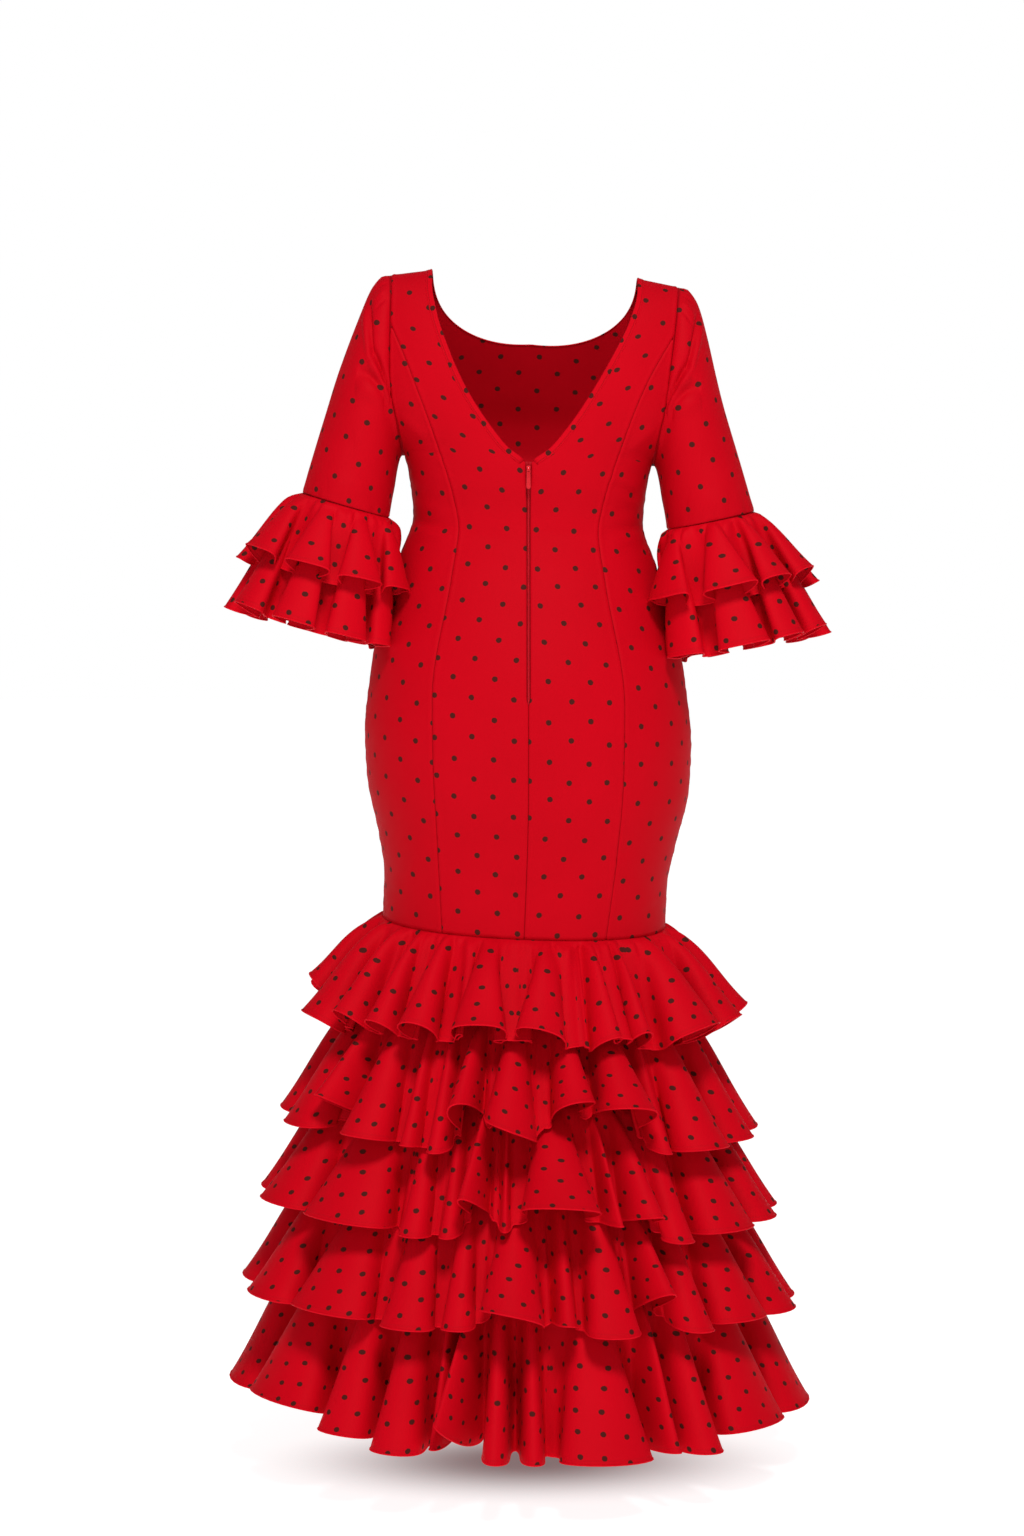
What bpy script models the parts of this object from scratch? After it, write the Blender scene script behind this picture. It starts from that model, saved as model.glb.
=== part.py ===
"""A worn flamenco dress in polka dot crepe: fitted princess panels to the knee, three-quarter sleeves with two
ruffles each, a deep V back with a centre zip, and five fluted flounces on a flared underskirt.

Metres, +Z up. The wearer faces -Y, and the wearer's left is +X. The origin lies midway between the two points
where the neck edge crosses the shoulder seams. A level is given by its drop, the height that it lies below the
origin."""

import math
from collections import namedtuple

import bmesh
import bpy
import numpy as np
from mathutils import Vector

CLOTH = 0.002  # a panel's wall
RUFFLE_CLOTH = 0.0016
SEAM_GAP = 0.0003
LEAN = 0.042  # the wearer's hip and shoulder are higher on her left: rise for each metre sideways

NECK_HALF = 0.127  # neck point to the centre, along the shoulders
SHOULDER_END = 0.176  # where the sleeve meets the shoulder seam
SHOULDER_FALL = 0.008
FALL_ENDS = 0.2  # drop at which a level is flat again

V_BOTTOM = 0.229
SCOOP_BOTTOM = 0.095
SCOOP_ROUNDNESS = 2.2
ARMPIT = 0.2205
BACK_PRINCESS_TOP = 0.064
FRONT_PRINCESS_TOP = 0.07
BELOW_SCOOP = 0.11
SIDE_PANEL_POINT = 0.004  # how far below the armhole a side panel is wide enough to start
ARMHOLE_LOW = 0.2275
ARMHOLE_FLOOR = math.radians(20)  # the part of the armhole, each side of the underarm, that lies flat
SLEEVE_CLEAR = 0.0018
UNDERARM_CLEAR = 0.003
SLEEVE_HEAD = 0.12  # share of the sleeve over which its armhole shape turns into a tube
BAND_WIDTH = 0.006
BAND_CLOTH = 0.001
BAND_INSET = 0.0005
BAND_OUT = 0.0019
BAND_END = 0.2255
ZIP_END = 0.5235
ZIP_HALF_SLOT = 0.0035
TAPE_WIDTH = 0.012
TAPE_CLOTH = 0.001
TAPE_IN = 0.0022  # from the panels' middle surface to the tapes'
TAPE_TOP, TAPE_BOTTOM = 0.2285, 0.53
SLIDER_DROP = 0.2365
SLIDER_WIDTH, SLIDER_THICK, SLIDER_LENGTH = 0.005, 0.0034, 0.008
SLIDER_OUT = 0.0003  # from the panels' middle surface to the slider's middle
SLIDER_ROUND = 0.0007
SLIDER_NARROWS = 0.82  # its lower end's width, as a share of its upper end's
BAIL_RADIUS = 0.0023
BAIL_WIRE = 0.0005
HINGE_ABOVE = 0.0015  # the pull's hinge, above the slider's outer face
HINGE_OUT = SLIDER_OUT + SLIDER_THICK / 2 + HINGE_ABOVE
PULL_LENGTH, PULL_THICK = 0.024, 0.0012
PULL_HEAD, PULL_TAIL = 0.0021, 0.0026  # half-widths at the pull's bar and near its tip
PULL_BAR = 0.0009  # half of the bar that turns inside the bail
PULL_HOLE_END, PULL_HOLE_HALF = 0.0034, 0.0012
HOLE_CORNERS = ((-1, -PULL_BAR), (1, -PULL_BAR), (1, -PULL_HOLE_END), (-1, -PULL_HOLE_END))
KNEE_SEAM = 0.8
KNEE_DIP = 0.007  # the knee seam hangs lower at the centre back than at the sides
DIP_STARTS = 0.6
SHOULDER_SWAY = 0.008  # the shoulders sit towards the wearer's right
SHOULDER_SWAY_ENDS = 0.16
SWAY = 0.011  # the lower flounces swing to the wearer's left
SWAY_STARTS = 0.62
SWAY_ENDS = 1.0

RED = (0.62, 0.004, 0.012, 1.0)
METAL_RED = (0.5, 0.01, 0.02, 1.0)


def table(columns, *rows):
    return dict(zip(columns.split(), np.array(rows, float).T))


# The garment's rings. Above the armpit, half is where the side would be if the arm were part of the trunk.
RINGS = table(
    "drop    half    back    front   square",
    (0.0000, 0.2150, 0.0005, 0.0005, 2.3),
    (0.0015, 0.2150, 0.0170, 0.0160, 2.3),
    (0.0060, 0.2150, 0.0320, 0.0300, 2.3),
    (0.0150, 0.2150, 0.0460, 0.0440, 2.3),
    (0.0300, 0.2150, 0.0600, 0.0580, 2.3),
    (0.0600, 0.2145, 0.0760, 0.0760, 2.3),
    (0.1000, 0.2120, 0.0900, 0.0980, 2.3),
    (0.1500, 0.2000, 0.0990, 0.1220, 2.3),
    (0.1900, 0.1780, 0.1010, 0.1370, 2.3),
    (0.2215, 0.1535, 0.1000, 0.1400, 2.3),
    (0.2500, 0.1460, 0.0960, 0.1330, 2.3),
    (0.3000, 0.1407, 0.0860, 0.1150, 2.25),
    (0.3500, 0.1570, 0.0960, 0.1200, 2.2),
    (0.4000, 0.1715, 0.1140, 0.1300, 2.2),
    (0.4500, 0.1865, 0.1310, 0.1350, 2.25),
    (0.5000, 0.1945, 0.1430, 0.1350, 2.3),
    (0.5700, 0.2015, 0.1480, 0.1310, 2.35),
    (0.6250, 0.1990, 0.1440, 0.1280, 2.35),
    (0.7000, 0.1830, 0.1340, 0.1240, 2.3),
    (0.7500, 0.1750, 0.1300, 0.1220, 2.25),
    (0.8000, 0.1750, 0.1290, 0.1220, 2.2),
    (0.8950, 0.1880, 0.1450, 0.1380, 2.1),
    (1.0100, 0.2140, 0.1720, 0.1630, 2.05),
    (1.1150, 0.2380, 0.1970, 0.1870, 2.0),
    (1.2250, 0.2570, 0.2180, 0.2070, 2.0),
    (1.2450, 0.2600, 0.2210, 0.2100, 2.0),
)
# Half-widths, from the centre line, of the edges and seams that run down the panels.
BACK_NECK = table(
    "drop    x",
    (0.000, 0.1270),
    (0.017, 0.1265),
    (0.054, 0.1185),
    (0.103, 0.0985),
    (0.151, 0.0725),
    (0.200, 0.0370),
    (0.213, 0.0250),
    (0.223, 0.0110),
    (0.229, 0.0040),
)
ARMHOLE = table(
    "drop    x",
    (0.0000, 0.1760),
    (0.0490, 0.1740),
    (0.1270, 0.1700),
    (0.1550, 0.1670),
    (0.1900, 0.1590),
    (0.2205, 0.1525),
)
BACK_PRINCESS = table(
    "drop    x",
    (0.064, 0.1720),
    (0.100, 0.1550),
    (0.127, 0.1430),
    (0.200, 0.1150),
    (0.280, 0.0900),
    (0.310, 0.0850),
    (0.370, 0.0930),
    (0.520, 0.1165),
    (0.600, 0.1155),
    (0.700, 0.1090),
    (0.800, 0.1000),
)
FRONT_PRINCESS = table(
    "drop    x",
    (0.070, 0.1720),
    (0.120, 0.1400),
    (0.210, 0.1000),
    (0.300, 0.0760),
    (0.400, 0.0900),
    (0.520, 0.1080),
    (0.700, 0.1040),
    (0.800, 0.0980),
)
PANEL_LEVELS = (
    0.0, 0.006, 0.015, 0.03, 0.055, 0.08, 0.11, 0.14, 0.17, 0.195, 0.213, 0.2205, 0.229, 0.26,
    0.3, 0.34, 0.39, 0.45, 0.5235, 0.58, 0.64, 0.7, 0.75, 0.8,
)  # fmt: skip

# The left sleeve's rings, each through a point on its outer line and one on its underarm seam.
SLEEVE = table(
    "place outer_x outer_drop inner_x inner_drop back   front  forward",
    (0.00, 0.1765, 0.0085,    0.1560, 0.2200,    0.060, 0.060, 0.000),
    (0.05, 0.1860, 0.0110,    0.1575, 0.2245,    0.063, 0.062, 0.000),
    (0.12, 0.1990, 0.0290,    0.1595, 0.2310,    0.066, 0.064, 0.000),
    (0.25, 0.2150, 0.0680,    0.1610, 0.2400,    0.067, 0.065, -0.003),
    (0.42, 0.2300, 0.1160,    0.1630, 0.2520,    0.065, 0.063, -0.007),
    (0.60, 0.2440, 0.1640,    0.1650, 0.2660,    0.061, 0.060, -0.012),
    (0.80, 0.2600, 0.2170,    0.1680, 0.2820,    0.057, 0.057, -0.018),
    (1.00, 0.2780, 0.2780,    0.1715, 0.3040,    0.055, 0.055, -0.024),
)  # fmt: skip
SLEEVE_PLACES = (0.0, 0.05, 0.14, 0.34, 0.62, 1.0)

# A flounce's flutes go round by angle, from the centre back towards the wearer's left. Each starts in the
# trough at edge, reaches out to reach times the flounce's crest, and leans by so many degrees at its hem.
# lift raises its hem at the crest and tilt raises it towards the wearer's left. full is its share of the swell.
Flute = namedtuple("Flute", "edge reach lean lift tilt full", defaults=(0.0, 0.0, 1.0))
# rise lifts the seam line at the centre back, swell makes crests wider than troughs, curl turns their flanks
# under, puff is how far the crests stand out below the gathers, and level is how nearly level the hem hangs.
Flounce = namedtuple("Flounce", "name drop rise length trough crest swell curl puff level front_flutes flutes")

FLOUNCES = (
    Flounce("flounce_1", 0.8005, 0.0, 0.138, 0.028, 0.096, 0.15, 0.08, 0.020, 0.10, 9, (
        Flute(-98, 1.06, 0), Flute(-81, 1.08, 0, -0.004), Flute(-65, 1.08, -5, -0.006, -0.004, 0.6),
        Flute(-39, 0.95, -3, 0.000, 0.000, 0.6), Flute(-29.5, 0.95, -3, 0.000, 0.000, 0.5),
        Flute(-17, 1.08, 5, -0.004, 0.004, 0.6), Flute(3.5, 1.05, 1, 0.000, -0.002, 0.9),
        Flute(21.5, 1.00, 4, 0.000, 0.000, 0.9), Flute(36, 0.95, 2), Flute(48, 1.00, 2),
        Flute(60, 1.06, 2), Flute(80, 0.98, 0, 0.008), Flute(98, 0.95, 0),
    )),
    Flounce("flounce_2", 0.895, 0.010, 0.186, 0.024, 0.109, 0.17, 0.08, 0.018, 0.75, 9, (
        Flute(-99, 1.00, 0), Flute(-81, 1.02, 0), Flute(-63, 1.10, 0, -0.002), Flute(-44, 0.95, 0, -0.004),
        Flute(-36, 1.16, -2, 0.052, 0.004), Flute(-19.5, 1.04, -2, 0.060, -0.004),
        Flute(-6.5, 1.18, 2, 0.022, 0.014), Flute(8, 1.15, 3, 0.050, -0.008), Flute(17, 1.00, 0, -0.010),
        Flute(26, 0.95, 0, -0.004), Flute(34, 1.08, 2), Flute(50, 1.02, 3, 0.042), Flute(59, 1.08, 0, -0.004),
        Flute(80, 1.00, 0), Flute(99, 0.95, 0),
    )),
    Flounce("flounce_3", 1.002, 0.008, 0.180, 0.024, 0.109, 0.17, 0.08, 0.018, 0.80, 9, (
        Flute(-99, 1.00, 0), Flute(-84, 1.05, 0), Flute(-68, 1.08, 0), Flute(-46.5, 1.00, 0, -0.008),
        Flute(-35, 1.05, -2, 0.026), Flute(-25, 1.00, -1, 0.016), Flute(-20, 1.24, 0, 0.038, 0.002),
        Flute(1, 0.85, 0, -0.020), Flute(6, 1.12, 3, 0.044), Flute(13, 0.95, 0, -0.006),
        Flute(21, 1.00, 0, -0.008), Flute(31, 1.08, 2, -0.002), Flute(58, 1.12, 0), Flute(80, 1.00, 0),
        Flute(99, 0.95, 0),
    )),
    Flounce("flounce_4", 1.115, 0.012, 0.180, 0.024, 0.107, 0.17, 0.08, 0.018, 0.80, 9, (
        Flute(-99, 1.00, 0), Flute(-84, 1.04, 0), Flute(-68, 1.00, 0, 0.006), Flute(-48, 1.02, 0),
        Flute(-36, 1.10, 0, 0.050), Flute(-28, 1.08, 0, -0.002), Flute(-14, 1.00, 0, 0.012),
        Flute(-7, 1.24, 1, 0.024, 0.008), Flute(9, 0.98, 0), Flute(19, 1.02, 0, -0.004),
        Flute(33, 1.08, 2, 0.002), Flute(57, 1.10, 0), Flute(79, 1.00, 0), Flute(99, 0.95, 0),
    )),
    Flounce("flounce_5", 1.215, 0.0, 0.210, 0.022, 0.105, 0.17, 0.08, 0.018, 0.80, 9, (
        Flute(-99, 1.02, 0, 0.010), Flute(-72, 1.00, 0, 0.016), Flute(-47, 1.02, 0, 0.000),
        Flute(-36, 0.98, 0, 0.006), Flute(-30, 1.12, 0), Flute(-6.5, 1.00, 0, -0.002),
        Flute(1, 1.12, 0, -0.002), Flute(9, 1.24, 6, 0.056, 0.012), Flute(14.5, 0.95, 0, 0.006),
        Flute(20, 1.05, 0, 0.000), Flute(33, 1.00, 0, 0.006), Flute(46.5, 1.04, 0, 0.024),
        Flute(73, 1.01, 0, 0.010), Flute(99, 0.95, 0),
    )),
)  # fmt: skip
RESTS_CLEAR = 0.0065  # between a hem and the flounce below it
REST_SAMPLES = 12  # looked at on each flute of the flounce below
REST_WIDTH = math.radians(4.0)  # how far to each side a hem heeds them
FLOUNCE_OFF = 0.0024  # a flounce's seam line, outside the underskirt
COLUMN_WIDTH = math.radians(3.2)
FEWEST_COLUMNS = 4
SKIRT_COLUMNS, CUFF_COLUMNS = 8, 6
FULL_CURL = math.radians(14)  # a narrower flute curls less
REST_EASE = 0.006
SEAM_NARROW = 0.07  # a flute is so much narrower at its seam, as a share of its width
UNEVEN, UNEVEN_STEP = 0.15, 2.4
FLOUNCE_ROWS = (0.0, 0.3, 0.65, 1.0)

CUFFS = (
    Flounce("cuff_ruffle_under", 0.0, 0.0, 0.160, 0.018, 0.058, 0.15, 0.05, 0.003, 0.0, 5, ()),
    Flounce("cuff_ruffle_top", 0.0, 0.0, 0.102, 0.024, 0.056, 0.15, 0.05, 0.005, 0.0, 5, ()),
)
# Where the troughs on the back of each arm's ruffles lie, in degrees round from its outer side.
CUFF_TROUGHS = {"left": (13, 54, 93, 131, 167), "right": (8, 40, 70, 116, 168)}
CUFF_LIFTS = (0.0, 0.008)  # of the crests on the back
CUFF_ROWS = (0.0, 0.45, 1.0)
CUFF_GAP = 0.001
PRESSED_CLEAR = (0.011, 0.005)  # from the hip to the under ruffle and to the top one
PRESS_EASE = 0.004
SIDES = (("left", 1), ("right", -1))


def read(rows, column, at):
    """The column's value at a place in the first column, on a smooth curve that never overshoots its rows."""
    places, values = rows[next(iter(rows))], rows[column]
    steps = np.diff(places)
    rises = np.diff(values) / steps
    before, after = rises[:-1], rises[1:]
    same_way = before * after > 0
    middle = np.where(same_way, 2 * before * after / np.where(same_way, before + after, 1), 0)
    slopes = np.concatenate([rises[:1], middle, rises[-1:]])
    i = np.clip(np.searchsorted(places, at, side="right") - 1, 0, len(steps) - 1)
    t = np.clip((at - places[i]) / steps[i], 0, 1)
    bend = (1 - t) ** 2 * t * slopes[i] * steps[i] - (1 - t) * t**2 * slopes[i + 1] * steps[i]
    return values[i] * (1 + 2 * t) * (1 - t) ** 2 + values[i + 1] * (3 - 2 * t) * t**2 + bend


def ease(t):
    t = np.clip(t, 0, 1)
    return t * t * (3 - 2 * t)


def unit(vectors):
    return vectors / np.linalg.norm(vectors, axis=-1, keepdims=True)


def posed(points):
    """Points of the upright dress, moved into the wearer's stance."""
    x, y, z = np.moveaxis(points, -1, 0)
    sway = SWAY * ease((-z - SWAY_STARTS) / (SWAY_ENDS - SWAY_STARTS))
    sway = sway - SHOULDER_SWAY * (1 - ease(-z / SHOULDER_SWAY_ENDS))
    return np.stack([x + sway, y, z + LEAN * x], axis=-1)


def ring(angle, drop):
    """The garment's points at an angle round from the centre back and at a drop."""
    power = 2 / read(RINGS, "square", drop)
    sine, cosine = np.sin(angle), np.cos(angle)
    depth = np.where(cosine > 0, read(RINGS, "back", drop), read(RINGS, "front", drop))
    x = read(RINGS, "half", drop) * np.sign(sine) * np.abs(sine) ** power
    y = depth * np.sign(cosine) * np.abs(cosine) ** power
    fall = SHOULDER_FALL * (np.abs(x) - NECK_HALF) / (SHOULDER_END - NECK_HALF)
    dip = KNEE_DIP * cosine * ease((drop - DIP_STARTS) / (KNEE_SEAM - DIP_STARTS))
    return np.stack([x, y, -drop - fall * (1 - ease(drop / FALL_ENDS)) - dip], axis=-1)


def ring_out(angle, drop, step=1e-3):
    """The level direction out of the ring, and its tangent towards the wearer's left."""
    along = ring(angle + step, drop) - ring(angle - step, drop)
    along[..., 2] = 0
    along = unit(along)
    return np.stack([-along[..., 1], along[..., 0], 0 * along[..., 2]], axis=-1)


def surface_out(angle, drop, step=1e-3):
    """The direction straight out of the garment's surface."""
    along = ring(angle + step, drop) - ring(angle - step, drop)
    down = ring(angle, drop + step / 2) - ring(angle, np.maximum(drop - step / 2, 0))
    return unit(np.cross(along, down))


def angle_at(x, drop, front):
    """The angle of the ring's point at that distance from the centre line, on the wearer's left."""
    share = np.clip(np.abs(x) / read(RINGS, "half", drop), 0, 1)
    angle = np.arcsin(share ** (read(RINGS, "square", drop) / 2))
    return np.pi - angle if front else angle


def new_object(name, mesh, colour=RED, roughness=0.6, metallic=0.0):
    material = bpy.data.materials.new(name)
    material.use_nodes = True
    shader = material.node_tree.nodes["Principled BSDF"]
    shader.inputs["Base Color"].default_value = colour
    shader.inputs["Roughness"].default_value = roughness
    shader.inputs["Metallic"].default_value = metallic
    mesh.materials.append(material)
    made = bpy.data.objects.new(name, mesh)
    bpy.data.collections["flamenco_dress"].objects.link(made)
    return made


def cloth(name, surface, columns, rows, thickness=CLOTH, closed=False):
    """A wall on the surface of u and v from 0 to 1. closed joins its last column to its first."""
    grid = bmesh.new()
    bmesh.ops.create_grid(grid, x_segments=columns, y_segments=rows, size=0.5)
    places = np.array([vertex.co for vertex in grid.verts]) + 0.5
    for vertex, point in zip(grid.verts, posed(surface(places[:, 0], places[:, 1]))):
        vertex.co = point
    if closed:
        bmesh.ops.remove_doubles(grid, verts=grid.verts, dist=1e-6)
    mesh = bpy.data.meshes.new(name)
    grid.to_mesh(mesh)
    grid.free()
    mesh.shade_smooth()
    made = new_object(name, mesh)
    wall = made.modifiers.new("wall", "SOLIDIFY")
    wall.thickness = thickness
    wall.offset = 0
    return made


def stepped(levels):
    """A function from 0..1 to the levels, evenly by row."""
    levels = np.array(levels)
    rows = np.linspace(0, 1, len(levels))
    return len(levels) - 1, lambda v: np.interp(v, rows, levels)


def levels_between(top, bottom):
    inner = [level for level in PANEL_LEVELS if top + 0.004 < level < bottom - 0.004]
    return [top, *inner, bottom]


def panel(name, inner_x, outer_x, top, columns, side, front):
    """A panel from the drop top to the knee seam, between two seams given as distances from the centre line."""
    rows, level = stepped(levels_between(top, KNEE_SEAM))

    def surface(u, v):
        drop = level(v)
        inner = angle_at(inner_x(drop), drop, front)
        outer = angle_at(outer_x(drop), drop, front)
        return ring(side * (inner + (outer - inner) * u), drop)

    return cloth(name, surface, columns, rows)


def side_edge(drop):
    """The armhole, and below it the side seam."""
    seam = read(RINGS, "half", drop) * 0.999997
    return np.where(drop < ARMPIT + 1e-6, read(ARMHOLE, "x", drop), seam)


def back_centre_x(drop):
    """The V neck, then the zip's slot, then the centre back seam."""
    slot = np.where(drop < ZIP_END + 1e-6, ZIP_HALF_SLOT, SEAM_GAP / 2)
    return np.where(drop < V_BOTTOM, np.maximum(read(BACK_NECK, "x", drop), slot), slot)


def back_princess_x(drop):
    seam = read(BACK_PRINCESS, "x", drop)
    return np.where(drop < BACK_PRINCESS_TOP, read(ARMHOLE, "x", drop), seam)


def front_princess_x(drop):
    seam = read(FRONT_PRINCESS, "x", drop)
    return np.where(drop < FRONT_PRINCESS_TOP, read(ARMHOLE, "x", drop), seam)


def inside(seam):
    return lambda drop: seam(drop) - SEAM_GAP / 2


def outside(seam):
    return lambda drop: seam(drop) + SEAM_GAP / 2


def panels():
    back_top = BACK_PRINCESS_TOP + SIDE_PANEL_POINT
    front_top = FRONT_PRINCESS_TOP + SIDE_PANEL_POINT
    for word, side in SIDES:
        panel("back_centre_" + word, back_centre_x, inside(back_princess_x), 0.0, 3, side, front=False)
        panel("back_side_" + word, outside(back_princess_x), side_edge, back_top, 3, side, front=False)
        panel("front_side_" + word, outside(front_princess_x), side_edge, front_top, 3, side, front=True)
    front_centre_panel()


def scoop_x(drop):
    share = np.clip(drop / SCOOP_BOTTOM, 0, 1)
    return NECK_HALF * (1 - share**SCOOP_ROUNDNESS) ** (1 / SCOOP_ROUNDNESS)


def front_centre_panel():
    """One piece between the princess seams, whose columns start at the shoulder seam or at the scoop."""
    rows, level = stepped(PANEL_LEVELS)
    tries = np.linspace(0, SCOOP_BOTTOM, 600)
    scoop = np.pi - angle_at(scoop_x(tries), tries, front=True)
    seam = np.pi - angle_at(front_princess_x(tries) - SEAM_GAP / 2, tries, front=True)

    def surface(u, v):
        share = 2 * u - 1
        in_neck = np.abs(share)[:, None] * seam < scoop
        last = np.where(in_neck.any(1), len(tries) - 1 - np.argmax(in_neck[:, ::-1], axis=1), 0)
        top = tries[last]
        even = level(v)
        drop = np.where(even < BELOW_SCOOP, top + (BELOW_SCOOP - top) * even / BELOW_SCOOP, even)
        reach = np.pi - angle_at(front_princess_x(drop) - SEAM_GAP / 2, drop, front=True)
        return ring(np.pi - share * reach, drop)

    return cloth("front_centre", surface, 10, rows)


def edge_band(name, angle, drop, columns, rows, turn):
    """The stitched band along a neck edge, on the panels' outside. angle and drop give the edge from 0 to 1."""

    def surface(u, v):
        edge = ring(angle(v), drop(v))
        step = 1e-3
        ahead, behind = np.minimum(v + step, 1), np.maximum(v - step, 0)
        along = ring(angle(ahead), drop(ahead)) - ring(angle(behind), drop(behind))
        out = surface_out(angle(v), drop(v))
        across = turn * unit(np.cross(out, along))
        return edge + across * (BAND_INSET + BAND_WIDTH * u)[:, None] + out * BAND_OUT

    return cloth(name, surface, columns, rows, BAND_CLOTH)


def neck_bands():
    for word, side in SIDES:
        edge_band(
            "neck_band_back_" + word,
            lambda v, side=side: side * angle_at(read(BACK_NECK, "x", band_drop(v)), band_drop(v), front=False),
            band_drop,
            1,
            18,
            -side,
        )

    def scoop_angle(v):
        turned = (2 * v - 1) * math.pi / 2
        x = NECK_HALF * np.abs(np.sin(turned)) ** (2 / SCOOP_ROUNDNESS)
        return np.pi - np.sign(turned) * (np.pi - angle_at(x, scoop_drop(v), front=True))

    def scoop_drop(v):
        turned = (2 * v - 1) * math.pi / 2
        return SCOOP_BOTTOM * np.abs(np.cos(turned)) ** (2 / SCOOP_ROUNDNESS)

    edge_band("neck_band_front", scoop_angle, scoop_drop, 1, 28, -1)


def zip_tapes():
    rows, level = stepped(levels_between(TAPE_TOP, TAPE_BOTTOM))
    for word, side in SIDES:

        def surface(u, v, side=side):
            drop = level(v)
            x = SEAM_GAP / 2 + (TAPE_WIDTH - SEAM_GAP / 2) * u
            angle = side * angle_at(x, drop, front=False)
            return ring(angle, drop) - TAPE_IN * surface_out(angle, drop)

        cloth("zip_tape_" + word, surface, 1, rows, TAPE_CLOTH)


def on_zip(name, data, out_by, tilted):
    """An object beside the slider's place, so far out of the panels, and tilted with them or not."""
    made = new_object(name, data, METAL_RED, 0.35, 0.6)
    out = Vector(surface_out(0.0, SLIDER_DROP))
    made.location = Vector(posed(ring(0.0, SLIDER_DROP))) + out * out_by
    if tilted:
        made.rotation_euler.x = math.atan2(out.z, out.y)
    return made


def zip_slider():
    block = bmesh.new()
    bmesh.ops.create_cube(block, size=1)
    for vertex in block.verts:
        vertex.co.x *= SLIDER_WIDTH * (1 if vertex.co.z > 0 else SLIDER_NARROWS)
        vertex.co.y *= SLIDER_THICK
        vertex.co.z *= SLIDER_LENGTH
    mesh = bpy.data.meshes.new("zip_slider")
    block.to_mesh(mesh)
    block.free()
    slider = on_zip("zip_slider", mesh, SLIDER_OUT, tilted=True)
    edges = slider.modifiers.new("edges", "BEVEL")
    edges.width = SLIDER_ROUND
    edges.segments = 2


def zip_bail():
    """The arch on the slider, bent round the pull's hinge."""
    foot = HINGE_ABOVE - SEAM_GAP
    turns = np.linspace(0, math.pi, 9)
    arch = [(0, BAIL_RADIUS * math.sin(turn), BAIL_RADIUS * math.cos(turn)) for turn in turns]
    wire = bpy.data.curves.new("zip_bail", "CURVE")
    wire.dimensions = "3D"
    wire.bevel_depth = BAIL_WIRE
    wire.bevel_resolution = 1
    wire.use_fill_caps = True
    add_line(wire, [(0, -foot, BAIL_RADIUS), *arch, (0, -foot, -BAIL_RADIUS)])
    on_zip("zip_bail", wire, HINGE_OUT, tilted=True)


def zip_pull():
    """A flat tab whose bar turns inside the bail. It hangs straight down, with its origin on the hinge."""
    plate = bpy.data.curves.new("zip_pull", "CURVE")
    plate.dimensions = "2D"
    plate.fill_mode = "BOTH"
    plate.extrude = PULL_THICK / 2
    low = PULL_TAIL - PULL_LENGTH
    turns = np.linspace(0, math.pi, 9)
    tail = [(PULL_TAIL * math.cos(turn), low - PULL_TAIL * math.sin(turn)) for turn in turns]
    add_line(plate, [(PULL_HEAD, PULL_BAR), *tail, (-PULL_HEAD, PULL_BAR)], cyclic=True)
    hole = [(side * PULL_HOLE_HALF, z) for side, z in HOLE_CORNERS]
    add_line(plate, hole, cyclic=True)
    on_zip("zip_pull", plate, HINGE_OUT, tilted=False).rotation_euler.x = math.pi / 2


def add_line(curve, points, cyclic=False):
    spline = curve.splines.new("POLY")
    spline.points.add(len(points) - 1)
    for point, place in zip(spline.points, points):
        point.co[: len(place)] = place
    spline.use_cyclic_u = cyclic


def band_drop(v):
    """From the shoulder seam to just short of the zip, with short steps over the shoulder."""
    return BAND_END * np.interp(v, (0, 0.1, 0.2, 1), (0, 0.012, 0.1, 1))


def armhole_point(turn):
    """The sleeve's first ring, just outside the panels' armhole edges. turn is 0 at the shoulder, half a turn
    at the underarm, and positive on the back."""
    middle, half = ARMHOLE_LOW / 2, ARMHOLE_LOW / 2
    drop = middle - half * np.cos(turn)
    at = np.minimum(drop, ARMPIT)
    angle = angle_at(read(ARMHOLE, "x", at), at, front=False)
    across = ring(np.where(np.sin(turn) < 0, np.pi - angle, angle), at)
    under = np.clip((np.pi - np.abs(turn)) / ARMHOLE_FLOOR, 0, 1)
    clear = SLEEVE_CLEAR + UNDERARM_CLEAR * ease((np.abs(turn) - 2.1) / 0.7)
    return np.stack([across[..., 0] + clear, across[..., 1] * under, across[..., 2] + at - drop], axis=-1)


def sleeve_point(turn, place):
    outer = np.stack([read(SLEEVE, "outer_x", place), -read(SLEEVE, "outer_drop", place)], axis=-1)
    inner = np.stack([read(SLEEVE, "inner_x", place), -read(SLEEVE, "inner_drop", place)], axis=-1)
    middle, half = (outer + inner) / 2, (outer - inner) / 2
    x, z = np.moveaxis(middle + half * np.cos(turn)[..., None], -1, 0)
    sine = np.sin(turn)
    depth = np.where(sine > 0, read(SLEEVE, "back", place), read(SLEEVE, "front", place))
    tube = np.stack([x, depth * sine - read(SLEEVE, "forward", place), z], axis=-1)
    share = ease(place / SLEEVE_HEAD)[..., None]
    return armhole_point(turn) * (1 - share) + tube * share


def mirrored(points, side):
    return points * np.array([side, 1, 1])


def sleeves():
    """Their columns start at the panels' rows along the armhole, so that both edges bend at the same places."""
    rows, place = stepped(SLEEVE_PLACES)
    levels = [level for level in PANEL_LEVELS if level <= ARMPIT]
    half_round = [math.acos(1 - 2 * level / ARMHOLE_LOW) for level in levels] + [math.pi]
    columns, turn = stepped([-place for place in reversed(half_round[1:])] + half_round)
    for word, side in SIDES:
        cloth(
            "sleeve_" + word,
            lambda u, v, side=side: mirrored(sleeve_point(turn(u), place(v)), side),
            columns,
            rows,
            closed=True,
        )


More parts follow.
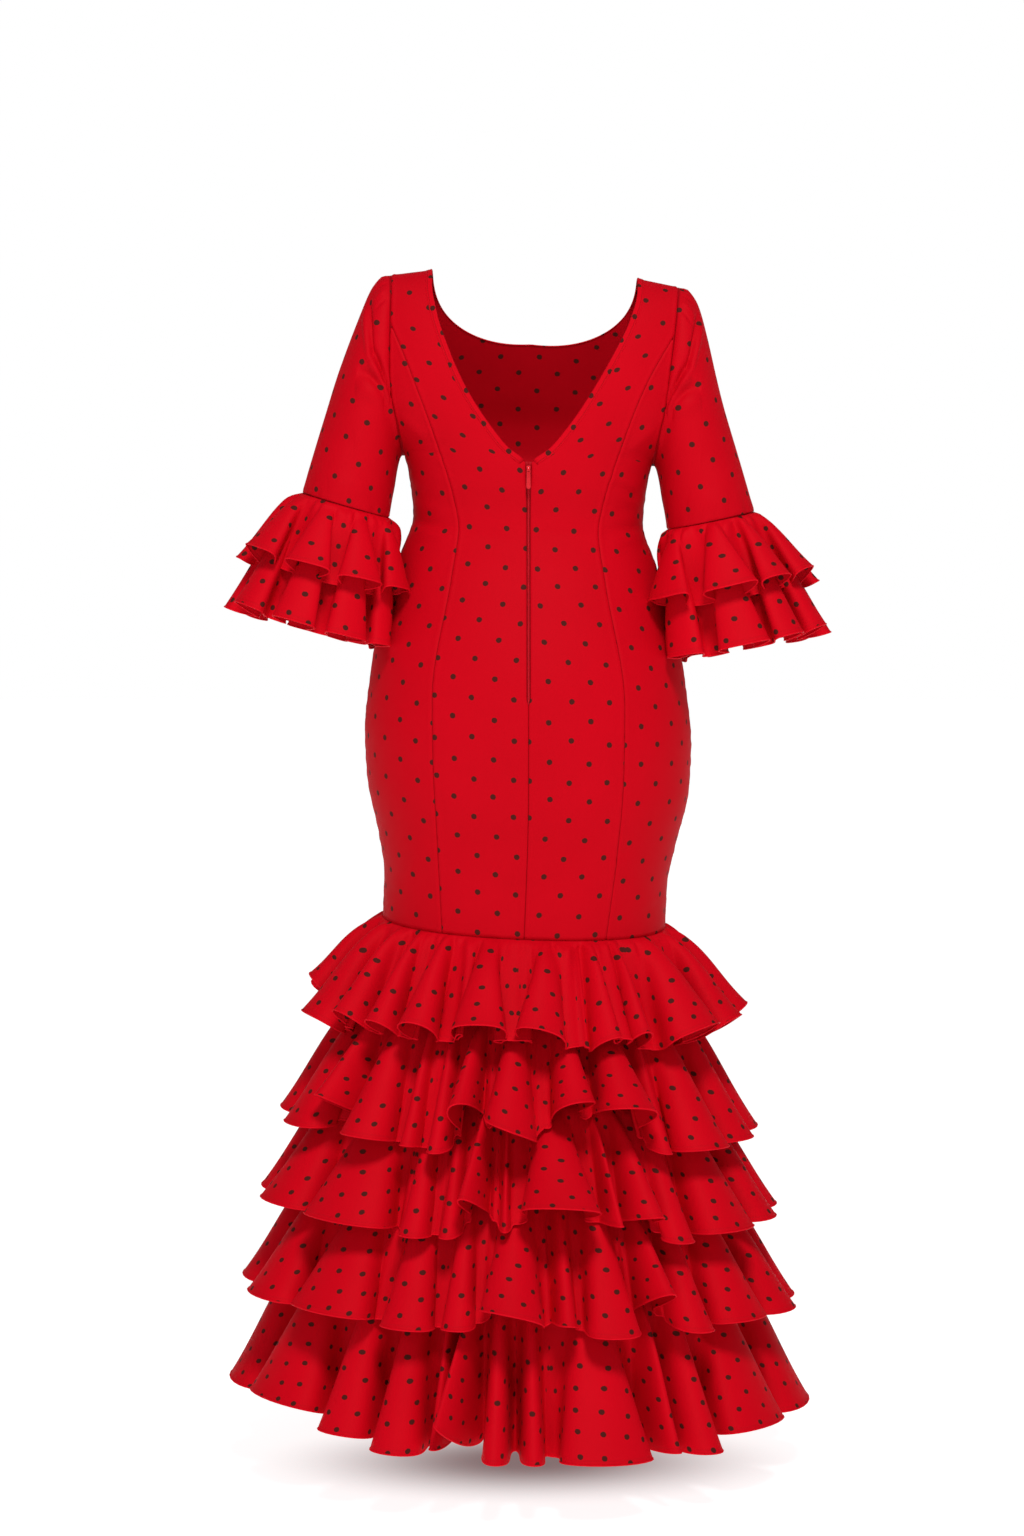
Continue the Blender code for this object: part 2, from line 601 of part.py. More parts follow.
def underskirt():
    rows, level = stepped((KNEE_SEAM + 0.001, 0.85, 0.93, 1.01, 1.115, 1.225, 1.245))
    cloth("underskirt", lambda u, v: ring(2 * np.pi * u, level(v)), 30, rows, closed=True)


class Flutes:
    """The flutes of a flounce, all round, and its surface below a seam."""

    def __init__(self, kind, seam, out, down, off, most_columns, least=None):
        self.kind, self.seam, self.out, self.down, self.off = kind, seam, out, down, off
        self.most_columns, self.least = most_columns, least
        edges = [math.radians(flute.edge) for flute in kind.flutes] or [-math.pi]
        count = kind.front_flutes
        turn = (edges[0] + 2 * math.pi - edges[-1]) / count
        front = [edges[-1] + turn * (k + UNEVEN * math.sin(UNEVEN_STEP * k)) for k in range(1, count)]
        self.edges = np.array(edges + front + [edges[0] + 2 * math.pi])
        self.flutes = np.array([*kind.flutes[:-1], *[Flute(0, 1.0, 0)] * count])

    def columns(self):
        """Phases to sample, with more of them on a wide flute. A phase counts flutes."""
        even = [2 * round(width / COLUMN_WIDTH / 2) for width in np.diff(self.edges)]
        counts = [min(max(count, FEWEST_COLUMNS), self.most_columns) for count in even]
        return [flute + k / count for flute, count in enumerate(counts) for k in range(count)] + [len(counts)]

    def parted(self, phase):
        flute = np.clip(np.floor(phase).astype(int), 0, len(self.flutes) - 1)
        return flute, phase - flute - 0.5

    def reach(self, phase):
        flute, place = self.parted(phase)
        rise = 0.5 + 0.5 * np.cos(2 * np.pi * place)
        crest = self.kind.crest * self.flutes[flute, 1]
        return self.kind.trough + (crest - self.kind.trough) * rise

    def even_angle(self, phase):
        return np.interp(phase, np.arange(len(self.edges)), self.edges)

    def seam_angle(self, phase):
        flute, place = self.parted(phase)
        return self.even_angle(phase) - np.diff(self.edges)[flute] * SEAM_NARROW * np.sin(2 * np.pi * place)

    def hem_angle(self, phase):
        flute, place = self.parted(phase)
        width = np.diff(self.edges)[flute]
        narrow = np.minimum(1, width / FULL_CURL)
        swell = self.kind.swell * self.flutes[flute, 5]
        turned = swell * np.sin(2 * np.pi * place) + self.kind.curl * np.sin(4 * np.pi * place)
        lean = np.radians(self.flutes[flute, 2]) * np.cos(np.pi * place) ** 2
        return self.even_angle(phase) + width * narrow * turned + lean

    def raised(self, phase):
        """How far a flute's own lift and tilt raise the hem."""
        flute, place = self.parted(phase)
        lift, tilt = self.flutes[flute, 3], self.flutes[flute, 4]
        return lift * np.cos(np.pi * place) ** 2 + tilt * np.sin(2 * np.pi * place)

    def fall(self, aside, phase):
        """How far the hem hangs below the seam where it stands out by so much."""
        own = np.sqrt(self.kind.length**2 - aside**2)
        at_crest = math.sqrt(self.kind.length**2 - self.kind.crest**2)
        return own + self.kind.level * (at_crest - own) - self.raised(phase)

    def puffed(self, phase, share):
        """How far the cloth stands out below its gathers, at a share of its length."""
        crested = 0.2 + 0.8 * (0.5 + 0.5 * np.cos(2 * np.pi * self.parted(phase)[1]))
        return self.kind.puff * crested * 4 * share * (1 - share) ** 2

    def point(self, phase, v):
        seam_at, hem_at = self.seam_angle(phase), self.hem_angle(phase)
        reach = self.reach(phase)
        if self.least is not None:
            least = self.least(hem_at, self.fall(reach, phase))
            reach = (reach + least + np.sqrt((reach - least) ** 2 + REST_EASE**2)) / 2
        out = self.out(seam_at)
        start = self.seam(seam_at) + self.off * out
        aside = self.seam(hem_at) + (self.off + reach)[:, None] * self.out(hem_at) - start
        aside = aside - (aside @ self.down)[:, None] * self.down
        fall = self.fall(np.sqrt((aside**2).sum(-1)), phase)
        hang = aside + fall[:, None] * self.down
        return start + v[:, None] * hang + self.puffed(phase, v)[:, None] * out

    def build(self, name, rows, finish=lambda points: points):
        row_count, level = stepped(rows)
        column_count, phase = stepped(self.columns())
        return cloth(
            name,
            lambda u, v: finish(self.point(phase(u), level(v))),
            column_count,
            row_count,
            RUFFLE_CLOTH,
            closed=True,
        )


def skirt_flutes(kind, below=None):
    """The flutes of a skirt flounce, whose hem stays clear of the flounce below it."""

    def seam_drop(flounce, angle):
        return flounce.drop - flounce.rise * np.maximum(np.cos(angle), 0) ** 2

    def least(angle, fall):
        """How far the flounce below stands out from this one's seam line, at the level of this one's hem."""
        mine, its = seam_drop(kind, angle), seam_drop(below.kind, angle)
        phase = np.linspace(0, len(below.flutes), len(below.flutes) * REST_SAMPLES + 1)[None, :]
        share = np.clip((mine + fall - its)[:, None] / below.fall(below.reach(phase), phase), 0, 1)
        turned = (1 - share) * below.seam_angle(phase) + share * below.hem_angle(phase)
        beside = np.abs((turned - angle[:, None] + np.pi) % (2 * np.pi) - np.pi)
        stands = share * below.reach(phase) + below.puffed(phase, share)
        stands = np.where(beside < REST_WIDTH, stands, 0).max(axis=1)
        apart = ring(angle, its) - ring(angle, mine)
        return stands + np.hypot(apart[..., 0], apart[..., 1]) + RESTS_CLEAR

    return Flutes(
        kind,
        lambda angle: ring(angle, seam_drop(kind, angle)),
        lambda angle: ring_out(angle, seam_drop(kind, angle)),
        np.array([0.0, 0.0, -1.0]),
        FLOUNCE_OFF,
        SKIRT_COLUMNS,
        None if below is None else least,
    )


def flounces():
    below = None
    for kind in reversed(FLOUNCES):
        below = skirt_flutes(kind, below)
        below.build(kind.name, FLOUNCE_ROWS)


def cuff_flutes(kind, off):
    place = np.array([1.0])
    outer, inner = sleeve_point(np.array([0.0]), place)[0], sleeve_point(np.array([np.pi]), place)[0]
    across = unit(outer - inner)
    down = np.array([-across[2], 0, across[0]])
    down = -down if down[2] > 0 else down

    def seam(angle):
        return sleeve_point(angle, np.ones_like(angle)) + CUFF_GAP * down

    def out(angle, step=1e-3):
        along = unit(seam(angle + step) - seam(angle - step))
        return np.cross(down, along)

    return Flutes(kind, seam, out, down, off, CUFF_COLUMNS)


def beside_body(points, clear):
    """Points moved sideways until they lie clear of the dress's left side."""
    x, y, z = np.moveaxis(points, -1, 0)
    drop = -z
    depth = np.where(y > 0, read(RINGS, "back", drop), read(RINGS, "front", drop))
    square = read(RINGS, "square", drop)
    edge = np.maximum(1 - (np.abs(y) / depth) ** square, 0) ** (1 / square)
    least = read(RINGS, "half", drop) * edge + clear
    pressed = (x + least + np.sqrt((x - least) ** 2 + PRESS_EASE**2)) / 2
    return np.stack([np.where(np.abs(y) < depth, pressed, x), y, z], axis=-1)


def cuffs():
    for kind, off, clear, lift in zip(CUFFS, (0.0, FLOUNCE_OFF), PRESSED_CLEAR, CUFF_LIFTS):
        for word, side in SIDES:

            def finish(points, clear=clear, side=side):
                return mirrored(beside_body(points, clear), side)

            worn = tuple(Flute(trough, 1.0, 0, lift) for trough in CUFF_TROUGHS[word])
            cuff_flutes(kind._replace(flutes=worn), off).build(f"{kind.name}_{word}", CUFF_ROWS, finish)


def clear_scene():
    for made in list(bpy.data.objects):
        bpy.data.objects.remove(made)
    bpy.context.scene.collection.children.link(bpy.data.collections.new("flamenco_dress"))


def main():
    clear_scene()
    panels()
    neck_bands()
    zip_tapes()
    zip_slider()
    zip_bail()
    zip_pull()
    sleeves()
    cuffs()
    underskirt()
    flounces()


main()
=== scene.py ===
"""The looks of a worn flamenco dress in red polka dot crepe: thin shells of cloth with their gathers, flutes,
creases and rolled hems, the zip's teeth and pull, and a studio with one camera.

Metres, +Z up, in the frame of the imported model. The wearer faces -Y, and the wearer's left is +X. A level is
given by its drop, the height that it lies below the origin."""

import math
from collections import namedtuple

import bmesh
import bpy
import numpy as np
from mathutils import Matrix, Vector


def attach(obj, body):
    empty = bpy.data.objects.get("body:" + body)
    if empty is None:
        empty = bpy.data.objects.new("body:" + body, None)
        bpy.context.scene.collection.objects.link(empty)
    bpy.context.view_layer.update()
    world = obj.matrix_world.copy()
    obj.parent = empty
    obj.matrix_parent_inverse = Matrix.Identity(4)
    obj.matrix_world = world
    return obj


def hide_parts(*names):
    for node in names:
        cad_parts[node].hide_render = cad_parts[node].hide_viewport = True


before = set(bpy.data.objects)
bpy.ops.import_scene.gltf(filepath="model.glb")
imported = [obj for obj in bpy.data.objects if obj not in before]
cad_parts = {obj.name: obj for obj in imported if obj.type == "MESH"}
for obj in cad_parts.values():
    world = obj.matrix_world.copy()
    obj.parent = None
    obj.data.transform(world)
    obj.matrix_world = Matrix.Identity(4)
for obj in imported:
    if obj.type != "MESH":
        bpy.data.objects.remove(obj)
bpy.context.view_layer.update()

DRESS = "dress"
# UV maps in metres: the flat cut, and the places along an edge and away from it.
CLOTH_MAP, EDGE_MAP = "cloth", "edge"

# --- the garment's sizes ---

CREPE = 0.0008  # a panel's cloth
RUFFLE_CREPE = 0.0006
PANEL_OUT = 0.0006  # from the solids' middle surface to the cloth's
SEAM_GAP = -0.00006  # at a seam the cloth of both pieces is pressed together
LEAN = 0.042  # how much higher a level lies for each metre towards the wearer's left
NECK_HALF = 0.127
SHOULDER_END = 0.176
SHOULDER_FALL = 0.008  # from the neck point to the shoulder's end
FALL_ENDS = 0.2  # where the rings become level
V_BOTTOM = 0.229
SCOOP_BOTTOM = 0.095
SCOOP_ROUNDNESS = 2.2
ARMPIT = 0.2205
BACK_PRINCESS_TOP = 0.064
FRONT_PRINCESS_TOP = 0.07
BELOW_SCOOP = 0.11  # where the front's rows become level
SIDE_PANEL_POINT = 0.004  # from a princess seam's top to its side panel's
ARMHOLE_LOW = 0.2275
ARMHOLE_FLOOR = math.radians(20)  # the turn at the underarm over which the armhole closes
SLEEVE_CLEAR = 0.0006
UNDERARM_CLEAR = 0.003
UNDERARM_STARTS, UNDERARM_TURN = 2.1, 0.7  # in radians round from the shoulder
SLEEVE_HEAD = 0.12
BAND_END = 0.2265
ZIP_END = 0.5235
ZIP_HALF_SLOT, ZIP_HALF_CLOSED = 0.0035, 0.0022
SLOT_CLOSES = 0.06  # the stretch below the V over which the folds close in
ZIP_POINT = 0.012  # and the stretch above its end over which they meet
KNEE_SEAM = 0.8
KNEE_DIP = 0.007
DIP_STARTS = 0.6
KNEE_SWAY, SWAY_STARTS, SWAY_ENDS = 0.011, 0.62, 1.0
SHOULDER_SWAY, SHOULDER_SWAY_ENDS = 0.008, 0.16
SIDES = (("left", 1), ("right", -1))
SMALL_STEP = 1e-3  # of an angle or a drop, between two points that show a direction
ON_EDGE = 1e-6  # a row this little below an edge's end still lies on it


def table(columns, *rows):
    return dict(zip(columns.split(), np.array(rows, float).T))


# The garment's rings. Above the armpit, half is where the side would be if the arm were part of the trunk.
RINGS = table(
    "drop    half    back    front   square",
    (0.0000, 0.2150, 0.0005, 0.0005, 2.3),
    (0.0015, 0.2150, 0.0170, 0.0160, 2.3),
    (0.0060, 0.2150, 0.0320, 0.0300, 2.3),
    (0.0150, 0.2150, 0.0460, 0.0440, 2.3),
    (0.0300, 0.2150, 0.0600, 0.0580, 2.3),
    (0.0600, 0.2145, 0.0760, 0.0760, 2.3),
    (0.1000, 0.2120, 0.0900, 0.0980, 2.3),
    (0.1500, 0.2000, 0.0990, 0.1220, 2.3),
    (0.1900, 0.1780, 0.1010, 0.1370, 2.3),
    (0.2215, 0.1535, 0.1000, 0.1400, 2.3),
    (0.2500, 0.1460, 0.0960, 0.1330, 2.3),
    (0.3000, 0.1407, 0.0860, 0.1150, 2.25),
    (0.3500, 0.1570, 0.0960, 0.1200, 2.2),
    (0.4000, 0.1715, 0.1140, 0.1300, 2.2),
    (0.4500, 0.1865, 0.1310, 0.1350, 2.25),
    (0.5000, 0.1945, 0.1430, 0.1350, 2.3),
    (0.5700, 0.2015, 0.1480, 0.1310, 2.35),
    (0.6250, 0.1990, 0.1440, 0.1280, 2.35),
    (0.7000, 0.1830, 0.1340, 0.1240, 2.3),
    (0.7500, 0.1750, 0.1300, 0.1220, 2.25),
    (0.8000, 0.1750, 0.1290, 0.1220, 2.2),
    (0.8950, 0.1880, 0.1450, 0.1380, 2.1),
    (1.0100, 0.2140, 0.1720, 0.1630, 2.05),
    (1.1150, 0.2380, 0.1970, 0.1870, 2.0),
    (1.2250, 0.2570, 0.2180, 0.2070, 2.0),
    (1.2450, 0.2600, 0.2210, 0.2100, 2.0),
)
# Half-widths, from the centre line, of the edges and seams that run down the panels.
BACK_NECK = table(
    "drop    x",
    (0.000, 0.1270),
    (0.017, 0.1265),
    (0.054, 0.1185),
    (0.103, 0.0985),
    (0.151, 0.0725),
    (0.200, 0.0370),
    (0.213, 0.0250),
    (0.223, 0.0110),
    (0.229, 0.0040),
)
ARMHOLE = table(
    "drop    x",
    (0.0000, 0.1760),
    (0.0490, 0.1740),
    (0.1270, 0.1700),
    (0.1550, 0.1670),
    (0.1900, 0.1590),
    (0.2205, 0.1525),
)
BACK_PRINCESS = table(
    "drop    x",
    (0.064, 0.1720),
    (0.100, 0.1550),
    (0.127, 0.1430),
    (0.200, 0.1150),
    (0.280, 0.0900),
    (0.310, 0.0850),
    (0.370, 0.0930),
    (0.520, 0.1165),
    (0.600, 0.1155),
    (0.700, 0.1090),
    (0.800, 0.1000),
)
FRONT_PRINCESS = table(
    "drop    x",
    (0.070, 0.1720),
    (0.120, 0.1400),
    (0.210, 0.1000),
    (0.300, 0.0760),
    (0.400, 0.0900),
    (0.520, 0.1080),
    (0.700, 0.1040),
    (0.800, 0.0980),
)
# The left sleeve's rings, each through a point on its outer line and one on its underarm seam.
SLEEVE = table(
    "place outer_x outer_drop inner_x inner_drop back   front  forward",
    (0.00, 0.1765, 0.0085,    0.1560, 0.2200,    0.060, 0.060, 0.000),
    (0.05, 0.1860, 0.0110,    0.1575, 0.2245,    0.063, 0.062, 0.000),
    (0.12, 0.1990, 0.0290,    0.1595, 0.2310,    0.066, 0.064, 0.000),
    (0.25, 0.2150, 0.0680,    0.1610, 0.2400,    0.067, 0.065, -0.003),
    (0.42, 0.2300, 0.1160,    0.1630, 0.2520,    0.065, 0.063, -0.007),
    (0.60, 0.2440, 0.1640,    0.1650, 0.2660,    0.061, 0.060, -0.012),
    (0.80, 0.2600, 0.2170,    0.1680, 0.2820,    0.057, 0.057, -0.018),
    (1.00, 0.2780, 0.2780,    0.1715, 0.3040,    0.055, 0.055, -0.024),
)

# A flounce's flutes go round by angle, from the centre back towards the wearer's left. Each starts in the
# trough at edge, reaches out to reach times the flounce's crest, and leans by so many degrees at its hem.
# lift raises its hem at the crest and tilt raises it towards the wearer's left. full is its share of the
# swell, and join is how far the trough that it starts in stays filled.
Flute = namedtuple("Flute", "edge reach lean lift tilt full join", defaults=(0.0, 0.0, 1.0, 0.0))
# rise lifts the seam line at the centre back, swell makes crests wider than troughs, curl turns their flanks
# under, puff is how far the crests stand out below the gathers, and level is how nearly level the hem hangs.
Flounce = namedtuple(
    "Flounce", "name drop rise length trough crest swell curl puff level front_flutes flutes"
)

FLOUNCES = (
    Flounce("flounce_1", 0.8005, 0.0, 0.138, 0.022, 0.098, 0.09, 0.20, 0.022, 0.10, 9, (
        Flute(-98, 1.06, 0), Flute(-81, 1.08, 0, -0.004), Flute(-65, 1.06, -4, -0.006, -0.004, full=0.8),
        Flute(-40, 0.98, -1, full=0.8, join=0.35), Flute(-29.5, 0.96, -2, -0.004, -0.004, full=0.6),
        Flute(-17, 1.06, 3, -0.002, 0.006, full=0.8, join=0.55), Flute(1.5, 1.05, 0, 0.002, full=0.8),
        Flute(21.5, 1.00, 2, full=0.9), Flute(36, 0.95, 2), Flute(48, 1.00, 2, join=0.3),
        Flute(60, 1.06, 2, -0.02), Flute(80, 0.90, 0, 0.03), Flute(98, 0.95, 0),
    )),
    Flounce("flounce_2", 0.895, 0.010, 0.186, 0.024, 0.109, 0.17, 0.13, 0.018, 0.75, 9, (
        Flute(-99, 1.00, 0), Flute(-81, 1.02, 0), Flute(-63, 1.10, 0, -0.002),
        Flute(-44, 0.95, 0, -0.004), Flute(-36, 1.16, -2, 0.052, 0.004),
        Flute(-19.5, 1.04, -2, 0.06, -0.004), Flute(-6.5, 1.18, 2, 0.022, 0.014),
        Flute(8, 1.15, 3, 0.05, -0.008), Flute(17, 1.00, 0, -0.01), Flute(26, 0.95, 0, -0.004),
        Flute(34, 1.08, 2), Flute(50, 1.02, 3, 0.042), Flute(59, 1.08, 0, -0.004), Flute(80, 1.00, 0),
        Flute(99, 0.95, 0),
    )),
    Flounce("flounce_3", 1.002, 0.008, 0.180, 0.024, 0.109, 0.17, 0.13, 0.018, 0.80, 9, (
        Flute(-99, 1.00, 0), Flute(-84, 1.05, 0), Flute(-68, 1.08, 0), Flute(-46.5, 1.00, 0, -0.008),
        Flute(-35, 1.05, -2, 0.026), Flute(-25, 1.00, -1, 0.016), Flute(-20, 1.24, 0, 0.038, 0.002),
        Flute(1, 0.90, 0, 0.006), Flute(6, 1.12, 3, 0.044), Flute(13, 0.95, 0, -0.006),
        Flute(21, 1.00, 0, -0.008), Flute(31, 1.08, 2, -0.002), Flute(58, 1.12, 0), Flute(80, 1.00, 0),
        Flute(99, 0.95, 0),
    )),
    Flounce("flounce_4", 1.115, 0.012, 0.180, 0.024, 0.107, 0.17, 0.13, 0.018, 0.80, 9, (
        Flute(-99, 1.00, 0), Flute(-84, 1.04, 0), Flute(-68, 1.00, 0, 0.006), Flute(-48, 1.02, 0),
        Flute(-36, 1.10, 0, 0.05), Flute(-28, 1.08, 0, -0.002), Flute(-14, 1.00, 0, 0.012, join=0.45),
        Flute(-7, 1.24, 1, 0.024, 0.008, join=0.45), Flute(9, 0.98, 0), Flute(19, 1.02, 0, -0.004),
        Flute(33, 1.08, 2, 0.002), Flute(57, 1.10, 0), Flute(79, 1.00, 0), Flute(99, 0.95, 0),
    )),
    Flounce("flounce_5", 1.215, 0.0, 0.210, 0.022, 0.105, 0.17, 0.13, 0.018, 0.80, 9, (
        Flute(-99, 1.02, 0, 0.01), Flute(-72, 1.00, 0, 0.016), Flute(-47, 1.02, 0),
        Flute(-36, 0.98, 0, 0.006), Flute(-30, 1.12, 0), Flute(-6.5, 1.00, 0, -0.002, join=0.3),
        Flute(1, 1.12, 0, -0.002), Flute(9, 1.20, 4, 0.038, 0.012), Flute(14.5, 1.00, 0, 0.008),
        Flute(20, 1.05, 0, -0.004), Flute(33, 1.00, 0, 0.006), Flute(46.5, 1.04, 0, 0.024),
        Flute(73, 1.01, 0, 0.01), Flute(99, 0.95, 0),
    )),
)  # fmt: skip
RESTS_CLEAR = 0.0065  # between a hem and the flounce below it
REST_SAMPLES = 12  # looked at on each flute of the flounce below
REST_WIDTH = math.radians(4.0)  # how far to each side a hem heeds them
FLOUNCE_OFF = 0.0024
SEAM_OFF = 0.0004  # how far a ruffle's middle lies off what it's sewn to, at its seam
FULL_CURL = math.radians(14)  # a narrower flute curls less
REST_EASE = 0.006
SEAM_NARROW = 0.07  # how much narrower the crests are at the seam
UNEVEN, UNEVEN_STEP = 0.15, 2.4  # of the front's flutes
TROUGH_FOLLOWS = 0.65
FLOUNCE_SEED, CUFF_SEED = 11, 70

CUFFS = (
    Flounce("cuff_ruffle_under", 0.0, 0.0, 0.160, 0.016, 0.060, 0.08, 0.17, 0.008, 0.15, 4, ()),
    Flounce("cuff_ruffle_top", 0.0, 0.0, 0.102, 0.022, 0.058, 0.08, 0.19, 0.012, 0.0, 4, ()),
)
# Where the troughs on the back of each arm's ruffles lie, in degrees round from its outer side. The last
# flute is the one on the underarm, beside the body.
CUFF_TROUGHS = {"left": (13, 54, 93, 131, 167, 208), "right": (8, 40, 70, 116, 168, 208)}
CUFF_LEANS = {"left": (3, 4, 2, -3, 0, 0), "right": (2, 2, -4, -4, 0, 0)}
CUFF_REACHES = (1.0, 1.0, 1.0, 1.0, 0.6, 1.0)
UNDERARM_LIFT = 0.012
CUFF_LIFTS = (0.0, 0.008)  # of the crests on the back
FRONT_LIFT = -0.014  # of those on the front
CUFF_GAP = 0.001
PRESSED_CLEAR = (0.011, 0.005)  # between the body and each tier of ruffles
PRESS_EASE = 0.004
FLUTE_COLUMNS, CUFF_FLUTE_COLUMNS = 32, 30


def read(rows, column, at):
    """The column's value at places in the table's first column, on a smooth curve that never overshoots."""
    places, values = rows[next(iter(rows))], rows[column]
    steps = np.diff(places)
    rises = np.diff(values) / steps
    before, after = rises[:-1], rises[1:]
    same_way = before * after > 0
    middle = np.where(same_way, 2 * before * after / np.where(same_way, before + after, 1), 0)
    slopes = np.concatenate([rises[:1], middle, rises[-1:]])
    i = np.clip(np.searchsorted(places, at, side="right") - 1, 0, len(steps) - 1)
    t = np.clip((at - places[i]) / steps[i], 0, 1)
    bend = (1 - t) ** 2 * t * slopes[i] * steps[i] - (1 - t) * t**2 * slopes[i + 1] * steps[i]
    return values[i] * (1 + 2 * t) * (1 - t) ** 2 + values[i + 1] * (3 - 2 * t) * t**2 + bend


def ease(t):
    t = np.clip(t, 0, 1)
    return t * t * (3 - 2 * t)


def bell(t):
    return np.exp(-(t**2))


def unit(vectors):
    return vectors / np.linalg.norm(vectors, axis=-1, keepdims=True)


def posed(points):
    """Points of the upright dress, moved into the wearer's stance."""
    x, y, z = np.moveaxis(points, -1, 0)
    sway = KNEE_SWAY * ease((-z - SWAY_STARTS) / (SWAY_ENDS - SWAY_STARTS))
    sway = sway - SHOULDER_SWAY * (1 - ease(-z / SHOULDER_SWAY_ENDS))
    return np.stack([x + sway, y, z + LEAN * x], axis=-1)


def ring(angle, drop):
    """The garment's points at an angle round from the centre back and at a drop."""
    power = 2 / read(RINGS, "square", drop)
    sine, cosine = np.sin(angle), np.cos(angle)
    depth = np.where(cosine > 0, read(RINGS, "back", drop), read(RINGS, "front", drop))
    x = read(RINGS, "half", drop) * np.sign(sine) * np.abs(sine) ** power
    y = depth * np.sign(cosine) * np.abs(cosine) ** power
    fall = SHOULDER_FALL * (np.abs(x) - NECK_HALF) / (SHOULDER_END - NECK_HALF)
    dip = KNEE_DIP * cosine * ease((drop - DIP_STARTS) / (KNEE_SEAM - DIP_STARTS))
    return np.stack([x, y, -drop - fall * (1 - ease(drop / FALL_ENDS)) - dip], axis=-1)


def ring_out(angle, drop):
    """The level direction out of the ring."""
    along = ring(angle + SMALL_STEP, drop) - ring(angle - SMALL_STEP, drop)
    along[..., 2] = 0
    along = unit(along)
    return np.stack([-along[..., 1], along[..., 0], 0 * along[..., 2]], axis=-1)


def surface_out(angle, drop):
    """The direction straight out of the garment's surface."""
    along = ring(angle + SMALL_STEP, drop) - ring(angle - SMALL_STEP, drop)
    down = ring(angle, drop + SMALL_STEP / 2) - ring(angle, np.maximum(drop - SMALL_STEP / 2, 0))
    return unit(np.cross(along, down))


def angle_at(x, drop, front):
    """The angle of the ring's point at that distance from the centre line, on the wearer's left."""
    share = np.clip(np.abs(x) / read(RINGS, "half", drop), 0, 1)
    angle = np.arcsin(share ** (read(RINGS, "square", drop) / 2))
    return np.pi - angle if front else angle


# --- making meshes and pieces ---


def grid_mesh(name, points, layouts, closed=False, turned=False):
    """A mesh of quads over rows and columns of points. layouts holds, by UV map, a flat place for each point.
    closed joins the last column to the first. turned is for columns that run towards the wearer's right."""
    if turned:
        points = points[:, ::-1]
        layouts = {label: layout[:, ::-1] for label, layout in layouts.items()}
    rows, columns = points.shape[:2]
    kept = points[:, :-1] if closed else points
    wide = kept.shape[1]
    row, column = np.meshgrid(np.arange(rows - 1), np.arange(columns - 1), indexing="ij")
    corners = [(row, column), (row, column + 1), (row + 1, column + 1), (row + 1, column)]
    faces = np.stack([(down * wide + along % wide).ravel() for down, along in corners], axis=-1)
    mesh = bpy.data.meshes.new(name)
    mesh.from_pydata(kept.reshape(-1, 3).tolist(), [], faces.tolist())
    for label, layout in layouts.items():
        places = np.stack([layout[down, along] for down, along in corners], axis=-2)
        mesh.uv_layers.new(name=label).data.foreach_set("uv", places.astype(np.float32).ravel())
    mesh.shade_smooth()
    return mesh


def piece_of(name, mesh, material, body=DRESS):
    piece = bpy.data.objects.new(name, mesh)
    bpy.context.scene.collection.objects.link(piece)
    piece.data.materials.append(material)
    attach(piece, body)
    return piece


def cloth(node, kind, points, flat, edge, material, thickness, slot="crepe", **ways):
    """A node's cloth in the wearer's stance, a piece that replaces the node. kind ends the piece's name."""
    name = f"{node}_{kind}"
    mesh = grid_mesh(name, posed(points), {CLOTH_MAP: flat, EDGE_MAP: edge}, **ways)
    piece = piece_of(name, mesh, material)
    wall = piece.modifiers.new("thickness", "SOLIDIFY")
    wall.thickness = thickness
    wall.offset = 0
    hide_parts(node)
    return piece


def lengths_along(points, axis):
    """Distances run along the rows or the columns of a grid of points, from its first."""
    steps = np.linalg.norm(np.diff(points, axis=axis), axis=-1)
    pad = [(0, 0)] * steps.ndim
    pad[axis] = (1, 0)
    return np.cumsum(np.pad(steps, pad), axis=axis)


def tube_mesh(name, line, radius, sides=8):
    """A round edge along a closed line of points, with its length and its girth as both UV maps."""
    along = unit(np.roll(line, -1, axis=0) - np.roll(line, 1, axis=0))
    aside = unit(np.cross(along, [0.0, 0.0, 1.0]))
    over = np.cross(aside, along)
    turns = np.linspace(0, 2 * np.pi, sides + 1)
    around = np.cos(turns)[:, None, None] * aside + np.sin(turns)[:, None, None] * over
    points = line + around * radius
    points = np.concatenate([points, points[:, :1]], axis=1)
    run = lengths_along(points[:1], 1)[0]
    layout = np.stack(np.broadcast_arrays(run[None, :], turns[:, None] * radius), axis=-1)
    return joined_rows(grid_mesh(name, points, {CLOTH_MAP: layout, EDGE_MAP: layout}, closed=True))


def joined_rows(mesh):
    """The mesh with its first and last rows, which lie on each other, made one."""
    shape = bmesh.new()
    shape.from_mesh(mesh)
    bmesh.ops.remove_doubles(shape, verts=shape.verts, dist=1e-7)
    shape.to_mesh(mesh)
    shape.free()
    mesh.shade_smooth()
    return mesh


WAVE_LENGTHS = (0.72, 1.45)  # as shares of the usual one
WAVE_PEAK = 1.2


def uneven(at, wavelength, seed, terms=5):
    """A smooth random wave from -1 to 1 along a line, of about one wavelength but never quite regular."""
    chance = np.random.default_rng(seed)
    lengths = wavelength * chance.uniform(*WAVE_LENGTHS, terms)
    phases = chance.uniform(0, 2 * np.pi, terms)
    waves = [np.sin(2 * np.pi * at / length + phase) for length, phase in zip(lengths, phases)]
    return sum(waves) / terms**0.5 / WAVE_PEAK


